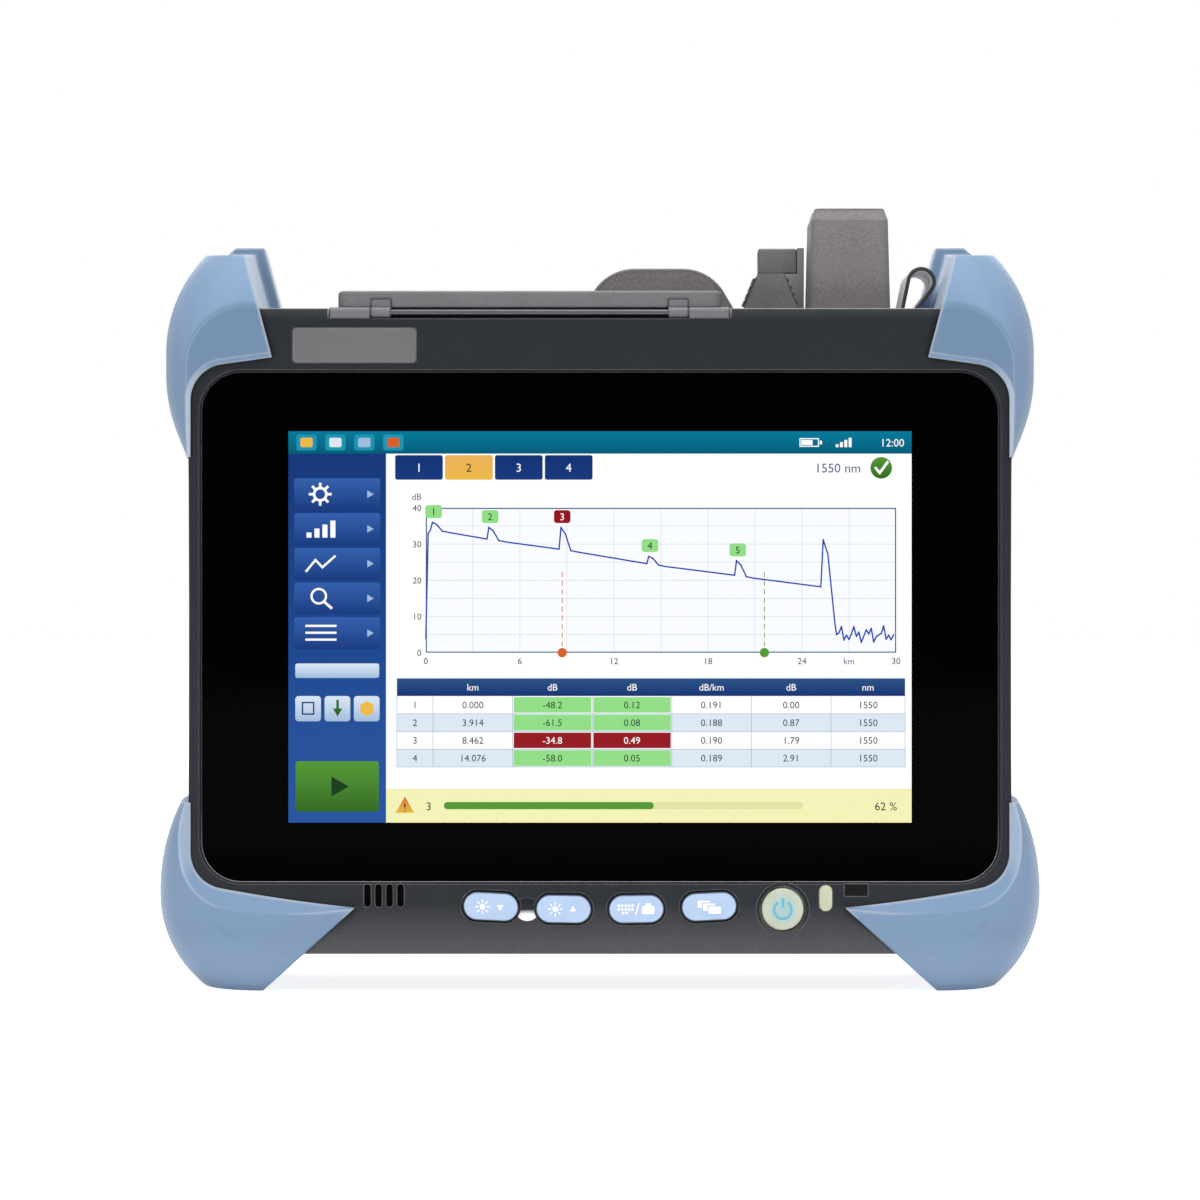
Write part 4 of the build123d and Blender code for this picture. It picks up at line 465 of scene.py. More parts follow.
def printed_ink():
    """Pad-printed ink: each face in its own tint."""
    shade = Shade("key_print", (1.0, 1.0, 1.0), 0.45)
    shade.repaint(shade.node("ShaderNodeAttribute", attribute_name="tint").outputs["Color"])
    return shade.mottle(1.5 * MM, 0.02).grain(0.2 * MM, 0.002 * MM).material


def lit_picture():
    """The screen: each face glows in its own tint, behind a smooth front."""
    shade = Shade("screen_picture", (0.0, 0.0, 0.0), 0.12, gloss=0.02)
    tint = shade.node("ShaderNodeAttribute", attribute_name="tint")
    shade.link(tint.outputs["Color"], shade.shader.inputs["Emission Color"])
    shade.set("Emission Strength", 1.0)
    return shade.material


def woven_strap():
    """Narrow webbing: fine threads that cross along and across the strap."""
    weave = settings().sizes.strap_weave
    shade = Shade("strap_weave", finish_colour("webbing"), 0.85).mottle(4 * MM, 0.05)
    shade.set("Sheen Weight", 0.25)
    split = shade.node("ShaderNodeSeparateXYZ")
    shade.link(shade.node("ShaderNodeUVMap", uv_map="strap").outputs["UV"], split.inputs["Vector"])
    cross = shade.node("ShaderNodeMath", operation="MULTIPLY")
    for index, (axis, share) in enumerate((("X", 0.8), ("Y", 1.0))):
        scale = shade.node("ShaderNodeMath", operation="MULTIPLY")
        scale.inputs[1].default_value = 2 * pi / (weave * share)
        shade.link(split.outputs[axis], scale.inputs[0])
        wave = shade.node("ShaderNodeMath", operation="SINE")
        shade.link(scale.outputs[0], wave.inputs[0])
        shade.link(wave.outputs[0], cross.inputs[index])
    return shade.relief(cross.outputs[0], 0.06 * MM).material


def bound_edge():
    """Dark edge faces of the webbing: painted shade."""
    shade = Shade("strap_binding", finish_colour("binding"), 0.8).mottle(2 * MM, 0.1)
    return shade.grain(0.3 * MM, 0.03 * MM).material


def dress(nodes, material):
    """Gives solids a finish."""
    for name in nodes:
        slots = NODES[name].data.materials
        slots.clear()
        slots.append(material)


# Flat pictures


UPRIGHT = Matrix.Rotation(radians(90), 4, "X")


class Picture:
    """Flat tinted shapes, drawn in millimetres from an origin and stacked in thin layers towards the user."""

    def __init__(self, origin, y):
        self.mesh = bmesh.new()
        self.origin = origin
        self.y = y

    def stamp(self, shape, x, z, layer, colour, low_colour=None, turn=0.0):
        """Lays a flat shape in place, tinted from low_colour at its foot to colour at its top."""
        place = Matrix.Translation((self.origin[0] + x * MM, self.y - layer * LAYER, self.origin[1] + z * MM))
        shape.transform(place @ UPRIGHT @ Matrix.Rotation(radians(turn), 4, "Z") @ Matrix.Scale(MM, 4))
        heights = [vert.co.z for vert in shape.verts]
        low, high = min(heights), max(heights)
        tint = shape.loops.layers.float_color.new("tint")
        for face in shape.faces:
            if face.normal.y > 0:
                face.normal_flip()
            for loop in face.loops:
                share = (loop.vert.co.z - low) / (high - low)
                loop[tint] = (*Vector(low_colour or colour).lerp(Vector(colour), share), 1.0)
        data = bpy.data.meshes.new("shape")
        shape.to_mesh(data)
        shape.free()
        self.mesh.from_mesh(data)
        bpy.data.meshes.remove(data)

    def panel(self, width, height):
        shape = bmesh.new()
        bmesh.ops.create_grid(
            shape, x_segments=1, y_segments=1, size=0.5, matrix=Matrix.Diagonal((width, height, 1.0, 1.0))
        )
        return shape

    def rect(self, x0, z0, x1, z1, colour, layer=1, radius=0.0, low_colour=None):
        shape = self.panel(x1 - x0, z1 - z0)
        if radius:
            bmesh.ops.bevel(
                shape, geom=shape.verts[:], offset=radius, offset_type="OFFSET", segments=4, profile=0.5,
                affect="VERTICES", material=-1,
            )
        self.stamp(shape, (x0 + x1) / 2, (z0 + z1) / 2, layer, colour, low_colour)

    def frame(self, x0, z0, x1, z1, width, colour, layer=2):
        """The outline of a rectangle, inside its edge."""
        shape = self.panel(x1 - x0, z1 - z0)
        inner = shape.faces[:]
        bmesh.ops.inset_region(
            shape, faces=inner, thickness=width, use_boundary=True, use_even_offset=True
        )
        bmesh.ops.delete(shape, geom=inner, context="FACES")
        self.stamp(shape, (x0 + x1) / 2, (z0 + z1) / 2, layer, colour)

    def disc(self, x, z, radius, colour, layer=2, sides=28, turn=0.0, low_colour=None):
        shape = bmesh.new()
        bmesh.ops.create_circle(shape, cap_ends=True, segments=sides, radius=radius)
        self.stamp(shape, x, z, layer, colour, low_colour, turn)

    def arc(self, x, z, radius, start, sweep, width, colour, layer=2, steps=32):
        """Part of a ring, swept from a short edge across its width."""
        shape = bmesh.new()
        near, far = (shape.verts.new((radius + side * width / 2, 0, 0)) for side in (-1, 1))
        edge = shape.edges.new((near, far))
        bmesh.ops.spin(
            shape, geom=[near, far, edge], cent=(0, 0, 0), axis=(0, 0, 1), angle=radians(sweep), steps=steps,
            use_merge=sweep == 360,
        )
        shape.normal_update()
        self.stamp(shape, x, z, layer, colour, turn=start)

    def line(self, start, end, width, colour, layer=2):
        run = Vector(end) - Vector(start)
        middle = (Vector(end) + Vector(start)) / 2
        turn = run.angle_signed(Vector((1, 0))) * 180 / pi
        self.stamp(self.panel(run.length + width, width), middle.x, middle.y, layer, colour, turn=turn)

    def path(self, points, width, colour, layer=2):
        for start, end in zip(points, points[1:]):
            self.line(start, end, width, colour, layer)

    def words(self, body, x, z, size, colour, layer=3, align="LEFT"):
        """Plain figures and units."""
        curve = bpy.data.curves.new("figures", "FONT")
        curve.body = body
        curve.size = size
        curve.align_x = align
        curve.resolution_u = 3
        holder = bpy.data.objects.new("figures", curve)
        data = bpy.data.meshes.new_from_object(holder)
        shape = bmesh.new()
        shape.from_mesh(data)
        bpy.data.objects.remove(holder)
        bpy.data.curves.remove(curve)
        bpy.data.meshes.remove(data)
        self.stamp(shape, x, z, layer, colour)

    def finish(self, name, material, body, slot):
        return add_piece(name, self.mesh, [material], body)


def add_piece(name, mesh, materials, body):
    """Turns a finished bmesh into a piece that rides on a body."""
    data = bpy.data.meshes.new(name)
    mesh.normal_update()
    mesh.to_mesh(data)
    mesh.free()
    piece = bpy.data.objects.new(name, data)
    bpy.context.scene.collection.objects.link(piece)
    for material in materials:
        data.materials.append(material)
    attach(piece, body)
    return piece


# Screen picture


WHITE = srgb(255, 255, 255)
PAPER = srgb(250, 252, 255)
INK = srgb(24, 30, 44)
GRID = srgb(214, 220, 228)
RULE = srgb(150, 170, 196)
TEAL = srgb(3, 123, 155)
TEAL_DEEP = srgb(2, 92, 122)
TEAL_LIGHT = srgb(28, 148, 178)
NAVY = srgb(16, 50, 115)
NAVY_LIGHT = srgb(42, 83, 134)
SOFT_KEY = srgb(52, 96, 172)
SOFT_KEY_LOW = srgb(24, 58, 128)
COLUMN_TOP = srgb(22, 56, 122)
COLUMN_LOW = srgb(34, 84, 160)
PALE = srgb(220, 232, 244)
PALE_LOW = srgb(160, 188, 220)
GREEN = srgb(84, 152, 52)
GREEN_LOW = srgb(46, 104, 26)
GREEN_DEEP = srgb(18, 60, 20)
GREEN_CELL = srgb(146, 222, 134)
RED_CELL = srgb(150, 18, 30)
ORANGE = srgb(236, 178, 92)
ORANGE_DEEP = srgb(214, 96, 40)
AMBER = srgb(236, 186, 70)
NOTE = srgb(243, 243, 184)
NOTE_DEEP = srgb(226, 226, 166)
TRACE = srgb(22, 66, 178)
COLUMN_W = 27.0
BAR_H = 6.2
NOTE_H = 9.4
TABLE_COLUMNS = (30.0, 40.0, 62.0, 84.0, 106.0, 128.0, 150.0, 170.5)
TABLE_TOP = 35.0
TABLE_ROW = 4.9
TABLE_UNITS = ("", "km", "dB", "dB", "dB/km", "dB", "nm")
TABLE_ROWS = (
    ("1", "0.000", "-48.2", "0.12", "0.191", "0.00", "1550"),
    ("2", "3.914", "-61.5", "0.08", "0.188", "0.87", "1550"),
    ("3", "8.462", "-34.8", "0.49", "0.190", "1.79", "1550"),
    ("4", "14.076", "-58.0", "0.05", "0.189", "2.91", "1550"),
)
BAD_ROW = 2
JUDGED_COLUMNS = (2, 3)
GRAPH = (38.0, 47.0, 168.0, 87.0)
GRAPH_KM = 30.0
GRAPH_DB = 40.0
EVENTS = ((0.3, 34.0, 2.0), (3.9, 31.4, 3.2), (8.5, 28.6, 6.0), (14.1, 24.6, 2.0), (19.7, 21.4, 4.0))
END_KM = 25.2
END_DB = 18.2


def graph_point(km, level):
    x0, z0, x1, z1 = GRAPH
    return (x0 + (x1 - x0) * km / GRAPH_KM, z0 + (z1 - z0) * level / GRAPH_DB)


def draw_trace(picture):
    """A falling trace: a slope between events, a spike and a step at each, and noise past the end."""
    points = [graph_point(0, 4), graph_point(0.15, 33)]
    for km, level, spike in EVENTS:
        points.append(graph_point(km, level))
        points.append(graph_point(km + 0.12, level + spike))
        points.append(graph_point(km + 0.4, level + spike * 0.7))
        points.append(graph_point(km + 0.75, level - 0.4))
        points.append(graph_point(km + 1.2, level - 0.8))
    points += [graph_point(END_KM, END_DB), graph_point(END_KM + 0.15, END_DB + 13)]
    points += [graph_point(END_KM + 0.45, END_DB + 9), graph_point(END_KM + 0.9, 8)]
    tail = GRAPH_KM - END_KM - 1.0
    for step in range(24):
        level = 5 + 2.6 * sin(step * 2.4) * cos(step * 1.3)
        points.append(graph_point(END_KM + 1.0 + step * tail / 24, level))
    picture.path(points, 0.42, TRACE, 4)


def draw_graph(picture):
    x0, z0, x1, z1 = GRAPH
    picture.rect(x0, z0, x1, z1, PAPER, 2)
    for km in range(0, int(GRAPH_KM) + 1, 3):
        x = graph_point(km, 0)[0]
        picture.line((x, z0), (x, z1), 0.16, GRID, 3)
        if km % 6 == 0:
            picture.words(str(km), x, z0 - 3.2, 2.5, INK, align="CENTER")
    for level in range(0, int(GRAPH_DB) + 1, 5):
        z = graph_point(0, level)[1]
        picture.line((x0, z), (x1, z), 0.16, GRID, 3)
        if level % 10 == 0:
            picture.words(str(level), x0 - 1.2, z - 0.9, 2.5, INK, align="RIGHT")
    picture.frame(x0, z0, x1, z1, 0.3, NAVY_LIGHT, 4)
    picture.words("dB", x0 - 1.2, z1 + 2.2, 2.5, NAVY_LIGHT, align="RIGHT")
    picture.words("km", graph_point(27, 0)[0], z0 - 3.2, 2.5, NAVY_LIGHT, align="CENTER")
    draw_trace(picture)
    for index, (km, level, spike) in enumerate(EVENTS):
        x, z = graph_point(km + 0.2, level + spike)
        bad = index == BAD_ROW
        picture.rect(x - 2.3, z + 1.2, x + 2.3, z + 4.8, RED_CELL if bad else GREEN_CELL, 5, 0.8)
        picture.words(str(index + 1), x, z + 2.0, 2.8, WHITE if bad else INK, 6, "CENTER")
    for km, tint in ((8.5, ORANGE_DEEP), (21.4, GREEN)):
        x = graph_point(km + 0.2, 0)[0]
        for dash in range(9):
            low = z0 + 1.8 + dash * 2.4
            picture.line((x, low), (x, low + 1.2), 0.24, tint, 5)
        picture.disc(x, z0, 1.3, tint, 6)


def draw_table(picture):
    left, right = TABLE_COLUMNS[0], TABLE_COLUMNS[-1]
    picture.rect(left, TABLE_TOP, right, TABLE_TOP + TABLE_ROW, NAVY_LIGHT, 2, low_colour=NAVY)
    for unit, x0, x1 in zip(TABLE_UNITS, TABLE_COLUMNS, TABLE_COLUMNS[1:]):
        if unit:
            picture.words(unit, (x0 + x1) / 2, TABLE_TOP + 1.5, 2.7, WHITE, align="CENTER")
    for index, row in enumerate(TABLE_ROWS):
        top = TABLE_TOP - index * TABLE_ROW
        bad = index == BAD_ROW
        picture.rect(left, top - TABLE_ROW, right, top, PALE if index % 2 else WHITE, 2)
        for column, figures in enumerate(row):
            x0, x1 = TABLE_COLUMNS[column], TABLE_COLUMNS[column + 1]
            judged = column in JUDGED_COLUMNS
            if judged:
                cell = RED_CELL if bad else GREEN_CELL
                picture.rect(x0 + 0.3, top - TABLE_ROW + 0.3, x1 - 0.3, top - 0.3, cell, 3)
            ink = WHITE if judged and bad else INK
            picture.words(figures, (x0 + x1) / 2, top - TABLE_ROW + 1.5, 2.7, ink, 4, "CENTER")
        picture.line((left, top - TABLE_ROW), (right, top - TABLE_ROW), 0.14, RULE, 4)
    for x in TABLE_COLUMNS:
        picture.line((x, TABLE_TOP - len(TABLE_ROWS) * TABLE_ROW), (x, TABLE_TOP), 0.14, RULE, 4)


def draw_rays(picture, x, z, inner, outer, width, colour, layer):
    """Eight short lines round a point."""
    centre = Vector((x, z))
    for ray in range(8):
        way = Vector((cos(ray * pi / 4), sin(ray * pi / 4)))
        picture.line(centre + inner * way, centre + outer * way, width, colour, layer)


def draw_column(picture, height):
    """The blue column of soft keys at the left, with the large green start key at its foot."""
    picture.rect(0, 0, COLUMN_W, height, COLUMN_TOP, 2, low_colour=COLUMN_LOW)
    picture.rect(2, 3, COLUMN_W - 2, 17, GREEN, 3, 0.8, GREEN_LOW)
    picture.disc(COLUMN_W / 2, 10, 3.2, GREEN_DEEP, 4, 3, -90)
    for index in range(5):
        low = 48 + index * 9.6
        picture.rect(1.6, low, COLUMN_W - 1.6, low + 8.8, SOFT_KEY, 3, 0.7, SOFT_KEY_LOW)
        picture.disc(COLUMN_W - 4.6, low + 4.4, 1.2, PALE_LOW, 4, 3, -90)
    for row in range(3):
        picture.line((5, 50.6 + row * 1.9), (13, 50.6 + row * 1.9), 0.6, WHITE, 4)
    picture.arc(8.4, 62.6, 2.0, 0, 360, 0.6, WHITE, 4)
    picture.line((10.2, 60.8), (11.8, 59.4), 0.7, WHITE, 4)
    picture.path([(5, 69.6), (7.5, 72.6), (9.4, 70.6), (12.8, 73.6)], 0.6, WHITE, 4)
    for bar in range(4):
        picture.rect(5 + bar * 2.2, 78.8, 6.4 + bar * 2.2, 80.2 + bar * 1.1, WHITE, 4)
    picture.arc(8.8, 90.8, 1.7, 0, 360, 0.7, WHITE, 4)
    draw_rays(picture, 8.8, 90.8, 2.3, 2.8, 0.7, WHITE, 4)
    for index in range(3):
        left = 1.9 + index * 8.1
        picture.rect(left, 28, left + 7.1, 35, PALE, 3, 0.9, PALE_LOW)
    picture.frame(3.7, 29.8, 7.2, 33.4, 0.4, NAVY, 5)
    picture.line((13.6, 33.6), (13.6, 31.6), 0.7, GREEN_LOW, 4)
    picture.disc(13.6, 30.8, 1.5, GREEN_LOW, 4, 3, -180)
    picture.disc(21.7, 31.5, 2.1, AMBER, 4, 6)
    picture.rect(1.9, 40, COLUMN_W - 1.9, 44, PALE, 3, 0.6, PALE_LOW)


def draw_bar(picture, width, height):
    """The status strip along the top and the row of numbered tabs under it."""
    low = height - BAR_H
    picture.rect(0, low, width, height, TEAL, 2, low_colour=TEAL_DEEP)
    for index, tint in enumerate((AMBER, PALE, PALE_LOW, ORANGE_DEEP)):
        left = 2.2 + index * 8.0
        picture.rect(left, low + 0.9, left + 5.6, height - 0.9, TEAL_LIGHT, 3, 0.7)
        picture.rect(left + 1.1, low + 1.8, left + 4.5, height - 1.8, tint, 4, 0.5)
    picture.words("12:00", width - 2.0, low + 2.0, 3.0, WHITE, 4, "RIGHT")
    for bar in range(4):
        left = width - 21 + bar * 1.2
        picture.rect(left, low + 1.8, left + 0.8, low + 2.6 + bar * 0.6, WHITE, 4)
    picture.frame(width - 31, low + 1.9, width - 25.6, low + 4.3, 0.3, WHITE, 4)
    picture.rect(width - 30.5, low + 2.4, width - 27.4, low + 3.8, WHITE, 4)
    picture.rect(width - 25.4, low + 2.6, width - 24.8, low + 3.6, WHITE, 4)
    for index in range(4):
        left = COLUMN_W + 2.5 + index * 13.8
        active = index == 1
        tint, foot = (ORANGE, AMBER) if active else (NAVY, SOFT_KEY_LOW)
        picture.rect(left, low - 7.2, left + 13.2, low - 0.4, tint, 3, 0.6, foot)
        picture.words(str(index + 1), left + 6.6, low - 5.0, 3.3, INK if active else WHITE, 4, "CENTER")
    picture.disc(width - 8.4, low - 3.9, 3.0, GREEN, 4, low_colour=GREEN_LOW)
    tick = [(width - 9.9, low - 4.0), (width - 8.8, low - 5.3), (width - 6.7, low - 2.4)]
    picture.path(tick, 0.7, WHITE, 5)
    picture.words("1550 nm", width - 14.0, low - 5.2, 3.6, NAVY_LIGHT, 4, "RIGHT")


def draw_note(picture, width):
    """The pale note along the foot: a warning sign and a measure of progress."""
    picture.rect(COLUMN_W, 0, width, NOTE_H, NOTE, 2)
    picture.disc(COLUMN_W + 5.2, 4.2, 3.0, ORANGE_DEEP, 3, 3, low_colour=AMBER)
    picture.words("!", COLUMN_W + 5.2, 3.0, 3.4, INK, 4, "CENTER")
    picture.words("3", COLUMN_W + 11.0, 3.4, 3.2, INK, 4)
    picture.rect(COLUMN_W + 16, 3.7, width - 30, 5.7, NOTE_DEEP, 3, 0.9)
    picture.rect(COLUMN_W + 16, 3.7, COLUMN_W + 74, 5.7, GREEN, 4, 0.9)
    picture.words("62 %", width - 4.0, 3.4, 3.2, INK, 4, "RIGHT")


class REFLECTOMETER_OT_display(bpy.types.Operator):
    """Finish the touch glass and light the screen"""

    bl_idname = "reflectometer.display"
    bl_label = "Glass and screen"

    def execute(self, context):
        dress(["touch_glass"], black_glass())
        sizes = settings().sizes
        middle = (GLASS_LOW.z + GLASS_HIGH.z) / 2
        width, height = sizes.screen_width / MM, sizes.screen_height / MM
        picture = Picture((-sizes.screen_width / 2, middle - sizes.screen_height / 2), GLASS_LOW.y)
        picture.rect(0, 0, width, height, WHITE, 1)
        draw_column(picture, height - BAR_H)
        draw_bar(picture, width, height)
        draw_graph(picture)
        draw_table(picture)
        draw_note(picture, width)
        picture.finish("screen_picture", lit_picture(), HOUSING, "display")
        return {"FINISHED"}


# Keys


def key_picture(node):
    """A picture centred on a key's front face."""
    centre = node_centre(node)
    return Picture((centre.x, centre.z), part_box(node)[0].y)


def draw_sun(picture, x, ink):
    picture.disc(x, 0, 0.8, ink, 1)
    draw_rays(picture, x, 0, 1.3, 1.9, 0.34, ink, 1)


def draw_keyboard(picture, ink):
    for row in range(3):
        for column in range(5 if row else 2):
            left = -5.2 + column * 0.95 + (0 if row else 1.2)
            picture.rect(left, -1.4 + row, left + 0.65, -0.7 + row, ink, 1)
    picture.line((-0.2, -1.5), (0.7, 1.6), 0.34, ink, 1)
    picture.rect(1.5, -1.4, 5.0, 0.9, ink, 1, 0.5)
    picture.rect(2.4, 1.0, 4.1, 1.6, ink, 1, 0.2)


def draw_windows(picture, ink, ground):
    """Three sheets, each over the corner of the one before."""
    for index in range(3):
        left, low = -3.2 + index * 1.5, -0.3 - index * 0.8
        picture.rect(left - 0.3, low - 0.3, left + 3.7, low + 2.3, ground, 1 + 2 * index)
        picture.rect(left, low, left + 3.4, low + 2.0, ink, 2 + 2 * index, 0.2)


class REFLECTOMETER_OT_keys(bpy.types.Operator):
    """Finish the keys and print their marks"""

    bl_idname = "reflectometer.keys"
    bl_label = "Keys"

    def execute(self, context):
        names = ("dim_key", "bright_key", "keyboard_key", "window_key")
        dress(names, key_silicone())
        glow = finish_colour("power_glow")
        power = clear_plastic("power_key_plastic", finish_colour("power"), node_centre("power_key"), glow)
        dress(["power_key"], power)
        dress(["status_lamp"], clear_plastic("lamp_plastic", finish_colour("lamp")))
        ink, ring = printed_ink(), finish_colour("power_mark")
        mark, ground = finish_colour("mark"), finish_colour("key")
        pictures = {name: key_picture(name) for name in names}
        for name, turn in (("dim_key", 180), ("bright_key", 0)):
            draw_sun(pictures[name], -2.3, mark)
            pictures[name].disc(2.6, -0.1, 1.05, mark, 1, 3, turn)
        draw_keyboard(pictures["keyboard_key"], mark)
        draw_windows(pictures["window_key"], mark, ground)
        for name, picture in pictures.items():
            picture.finish(name + "_mark", ink, name, "key")
        picture = key_picture("power_key")
        picture.arc(0, -0.2, 2.4, 122, 296, 0.75, ring, 1)
        picture.line((0, 0.9), (0, 2.7), 0.75, ring, 1)
        picture.finish("power_key_mark", ink, "power_key", "power")
        return {"FINISHED"}


# Housing and bumpers


class REFLECTOMETER_OT_housing(bpy.types.Operator):
    """Finish the shells, plate, window, leg, battery door and screws"""

    bl_idname = "reflectometer.housing"
    bl_label = "Housing"

    def execute(self, context):
        dress(["front_shell", "rear_shell"], housing_plastic())
        dress(["battery_door", "kick_stand"], moulded("rear_plastic", finish_colour("band"), 0.55))
        dress(["label_plate"], plate_paint())
        window = moulded("window_plastic", srgb(12, 12, 14), 0.25, 2 * MM, 0.002 * MM, gloss=0.06)
        dress(["sensor_window"], window)
        screw = metal("screw_steel", srgb(140, 140, 143), 0.35)
        dress(["shell_screws", "battery_screws", "stand_pin"], screw)
        dress(["stand_pads"], black_rubber("pad_rubber", srgb(30, 30, 32)))
        return {"FINISHED"}


class REFLECTOMETER_OT_bumpers(bpy.types.Operator):
    """Finish the corner bumpers"""

    bl_idname = "reflectometer.bumpers"
    bl_label = "Bumpers"

    def execute(self, context):
        corners = [f"{level}_{side}_bumper" for level in ("upper", "lower") for side in ("left", "right")]
        dress(corners, bumper_rubber())
        return {"FINISHED"}


# Ports


def contact_row(mesh, centre, pitch, count, size, tilt):
    """A row of flat spring contacts along X."""
    for index in range(count):
        x = centre.x + (index - (count - 1) / 2) * pitch
        matrix = Matrix.Translation((x, centre.y, centre.z)) @ Matrix.Rotation(radians(tilt), 4, "X")
        made = bmesh.ops.create_cube(mesh, size=1.0, matrix=matrix @ Matrix.Diagonal((*size, 1.0)))
        edges = list({edge for vert in made["verts"] for edge in vert.link_edges})
        bmesh.ops.bevel(
            mesh, geom=edges, offset=min(size) * 0.3, offset_type="OFFSET", segments=2, profile=0.5,
            affect="EDGES", material=-1,
        )


class REFLECTOMETER_OT_ports(bpy.types.Operator):
    """Finish the port door, its hinge and the sockets, and add the sockets' contacts"""

    bl_idname = "reflectometer.ports"
    bl_label = "Ports"

    def execute(self, context):
        black = moulded("port_black", finish_colour("black"), 0.45)
        door = handled("door_plastic", finish_colour("door"), 0.42, GRAIN, GRAIN_DEPTH, 0.12)
        dress(["port_door"], door)
        dress(["door_seal"], black_rubber("seal_rubber", srgb(22, 22, 24)))
        dress(["hinge_brackets"], door)
        dress(["hinge_rod"], metal("rod_steel", finish_colour("rod"), 0.35, (30, 1, 1)))
        dress(["port_panel", "power_jack", "sound_jack", "network_jack_1", "network_jack_2"], black)
        dress(["usb_socket_1", "usb_socket_2"], metal("socket_steel", srgb(196, 197, 200), 0.25, (1, 1, 20)))
        gold = metal("contact_gold", srgb(212, 172, 86), 0.25, (1, 1, 12))
        wide = settings().sizes.contact_width
        network = (2.6 * MM, 5.5 * MM, 1.02 * MM, 8, (wide, 0.3 * MM, 7.5 * MM), 6)
        usb = (0.28 * MM, 6.0 * MM, 2.3 * MM, 4, (2 * wide, 0.16 * MM, 7.0 * MM), 0)
        for index in (1, 2):
            for kind, node, (back, down, *row) in (("network", "jack", network), ("usb", "socket", usb)):
                centre = node_centre(f"{kind}_{node}_{index}") + back * BACK
                centre.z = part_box(f"{kind}_{node}_{index}")[1].z - down
                mesh = bmesh.new()
                contact_row(mesh, centre, *row)
                add_piece(f"{kind}_contacts_{index}", mesh, [gold], HOUSING)
        return {"FINISHED"}


# Test module


class REFLECTOMETER_OT_module(bpy.types.Operator):
    """Finish the test module's panel, ports, caps and grip"""

    bl_idname = "reflectometer.module"
    bl_label = "Test module"

    def execute(self, context):
        boot = handled("boot_plastic", finish_colour("boot"), 0.55, 0.3 * MM, 0.03 * MM, 0.28, 2.2 * MM)
        dress(["test_port_cover", "pull_grip"], boot)
        cap = handled("cap_plastic", finish_colour("cap"), 0.5, 0.4 * MM, 0.015 * MM, 0.16)
        dress(["meter_cap", "adapter_cap"], cap)
        dress(["module_panel", "loop_anchor"], moulded("module_black", finish_colour("black"), 0.5))
        dress(["test_port"], moulded("adapter_blue", srgb(36, 84, 150), 0.4))
        dress(["adapter_body", "meter_port"], metal("port_alloy", srgb(124, 124, 124), 0.45, (1, 1, 10)))
        return {"FINISHED"}


# Strap


class StrapLine:
    """The strap's middle line across the instrument: a straight leg, a round loop and a straight leg."""

    def __init__(self, left_foot, right_foot, centre, radius):
        self.left_foot, self.right_foot, self.centre, self.radius = left_foot, right_foot, centre, radius
        self.left_touch = self.touch(left_foot, -1)
        self.right_touch = self.touch(right_foot, 1)
        self.start = self.bearing(self.left_touch)
        self.up = (self.left_touch - left_foot).length
        self.round = radius * ((self.start - self.bearing(self.right_touch)) % (2 * pi))
        self.length = self.up + self.round + (right_foot - self.right_touch).length

    def touch(self, foot, side):
        """Where a straight leg from a foot meets the loop."""
        ahead = (self.centre - foot).normalized()
        far = (self.centre - foot).length
        across = self.radius * sqrt(far**2 - self.radius**2) / far
        return self.centre - ahead * self.radius**2 / far + side * across * Vector((ahead.y, -ahead.x))

    def bearing(self, point):
        return atan2(point.y - self.centre.y, point.x - self.centre.x)

    def point(self, run):
        """The place on the line after this length of strap."""
        if run < self.up:
            return self.left_foot.lerp(self.left_touch, run / self.up)
        if run < self.up + self.round:
            angle = self.start - (run - self.up) / self.radius
            return self.centre + self.radius * Vector((cos(angle), sin(angle)))
        rest = (run - self.up - self.round) / (self.length - self.up - self.round)
        return self.right_touch.lerp(self.right_foot, rest)


class REFLECTOMETER_OT_strap(bpy.types.Operator):
    """Fold the webbing into its loop"""

    bl_idname = "reflectometer.strap"
    bl_label = "Strap loop"

    def execute(self, context):
        sizes = settings().sizes
        width, thick = sizes.strap_width, sizes.strap_thickness
        low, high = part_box("pen_loop")
        anchor_low, anchor_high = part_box("loop_anchor")
        outer = sizes.strap_radius + thick / 2
        line = StrapLine(
            Vector((anchor_low.x + sizes.strap_margin, anchor_high.z)),
            Vector((anchor_high.x - sizes.strap_margin, anchor_high.z)),
            Vector((high.x - outer, high.z - outer)),
            sizes.strap_radius,
        )
        mesh = bmesh.new()
        flat = Matrix.Diagonal((width, line.length, 1.0, 1.0))
        bmesh.ops.create_grid(mesh, x_segments=6, y_segments=64, size=0.5, matrix=flat)
        uv = mesh.loops.layers.uv.new("strap")
        for face in mesh.faces:
            face.smooth = True
            for loop in face.loops:
                loop[uv].uv = loop.vert.co.xy
        for vert in mesh.verts:
            place = line.point(vert.co.y + line.length / 2)
            vert.co = (place.x, (low.y + high.y) / 2 + vert.co.x, place.y)
        strap = add_piece("strap_loop", mesh, [woven_strap(), bound_edge()], HOUSING)
        wall = strap.modifiers.new("thickness", "SOLIDIFY")
        wall.thickness = thick
        wall.offset = 0.0
        # the rim faces take the second material: painted shade on the strap's edges
        wall.material_offset_rim = 1
        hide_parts("pen_loop")
        return {"FINISHED"}


# Inside


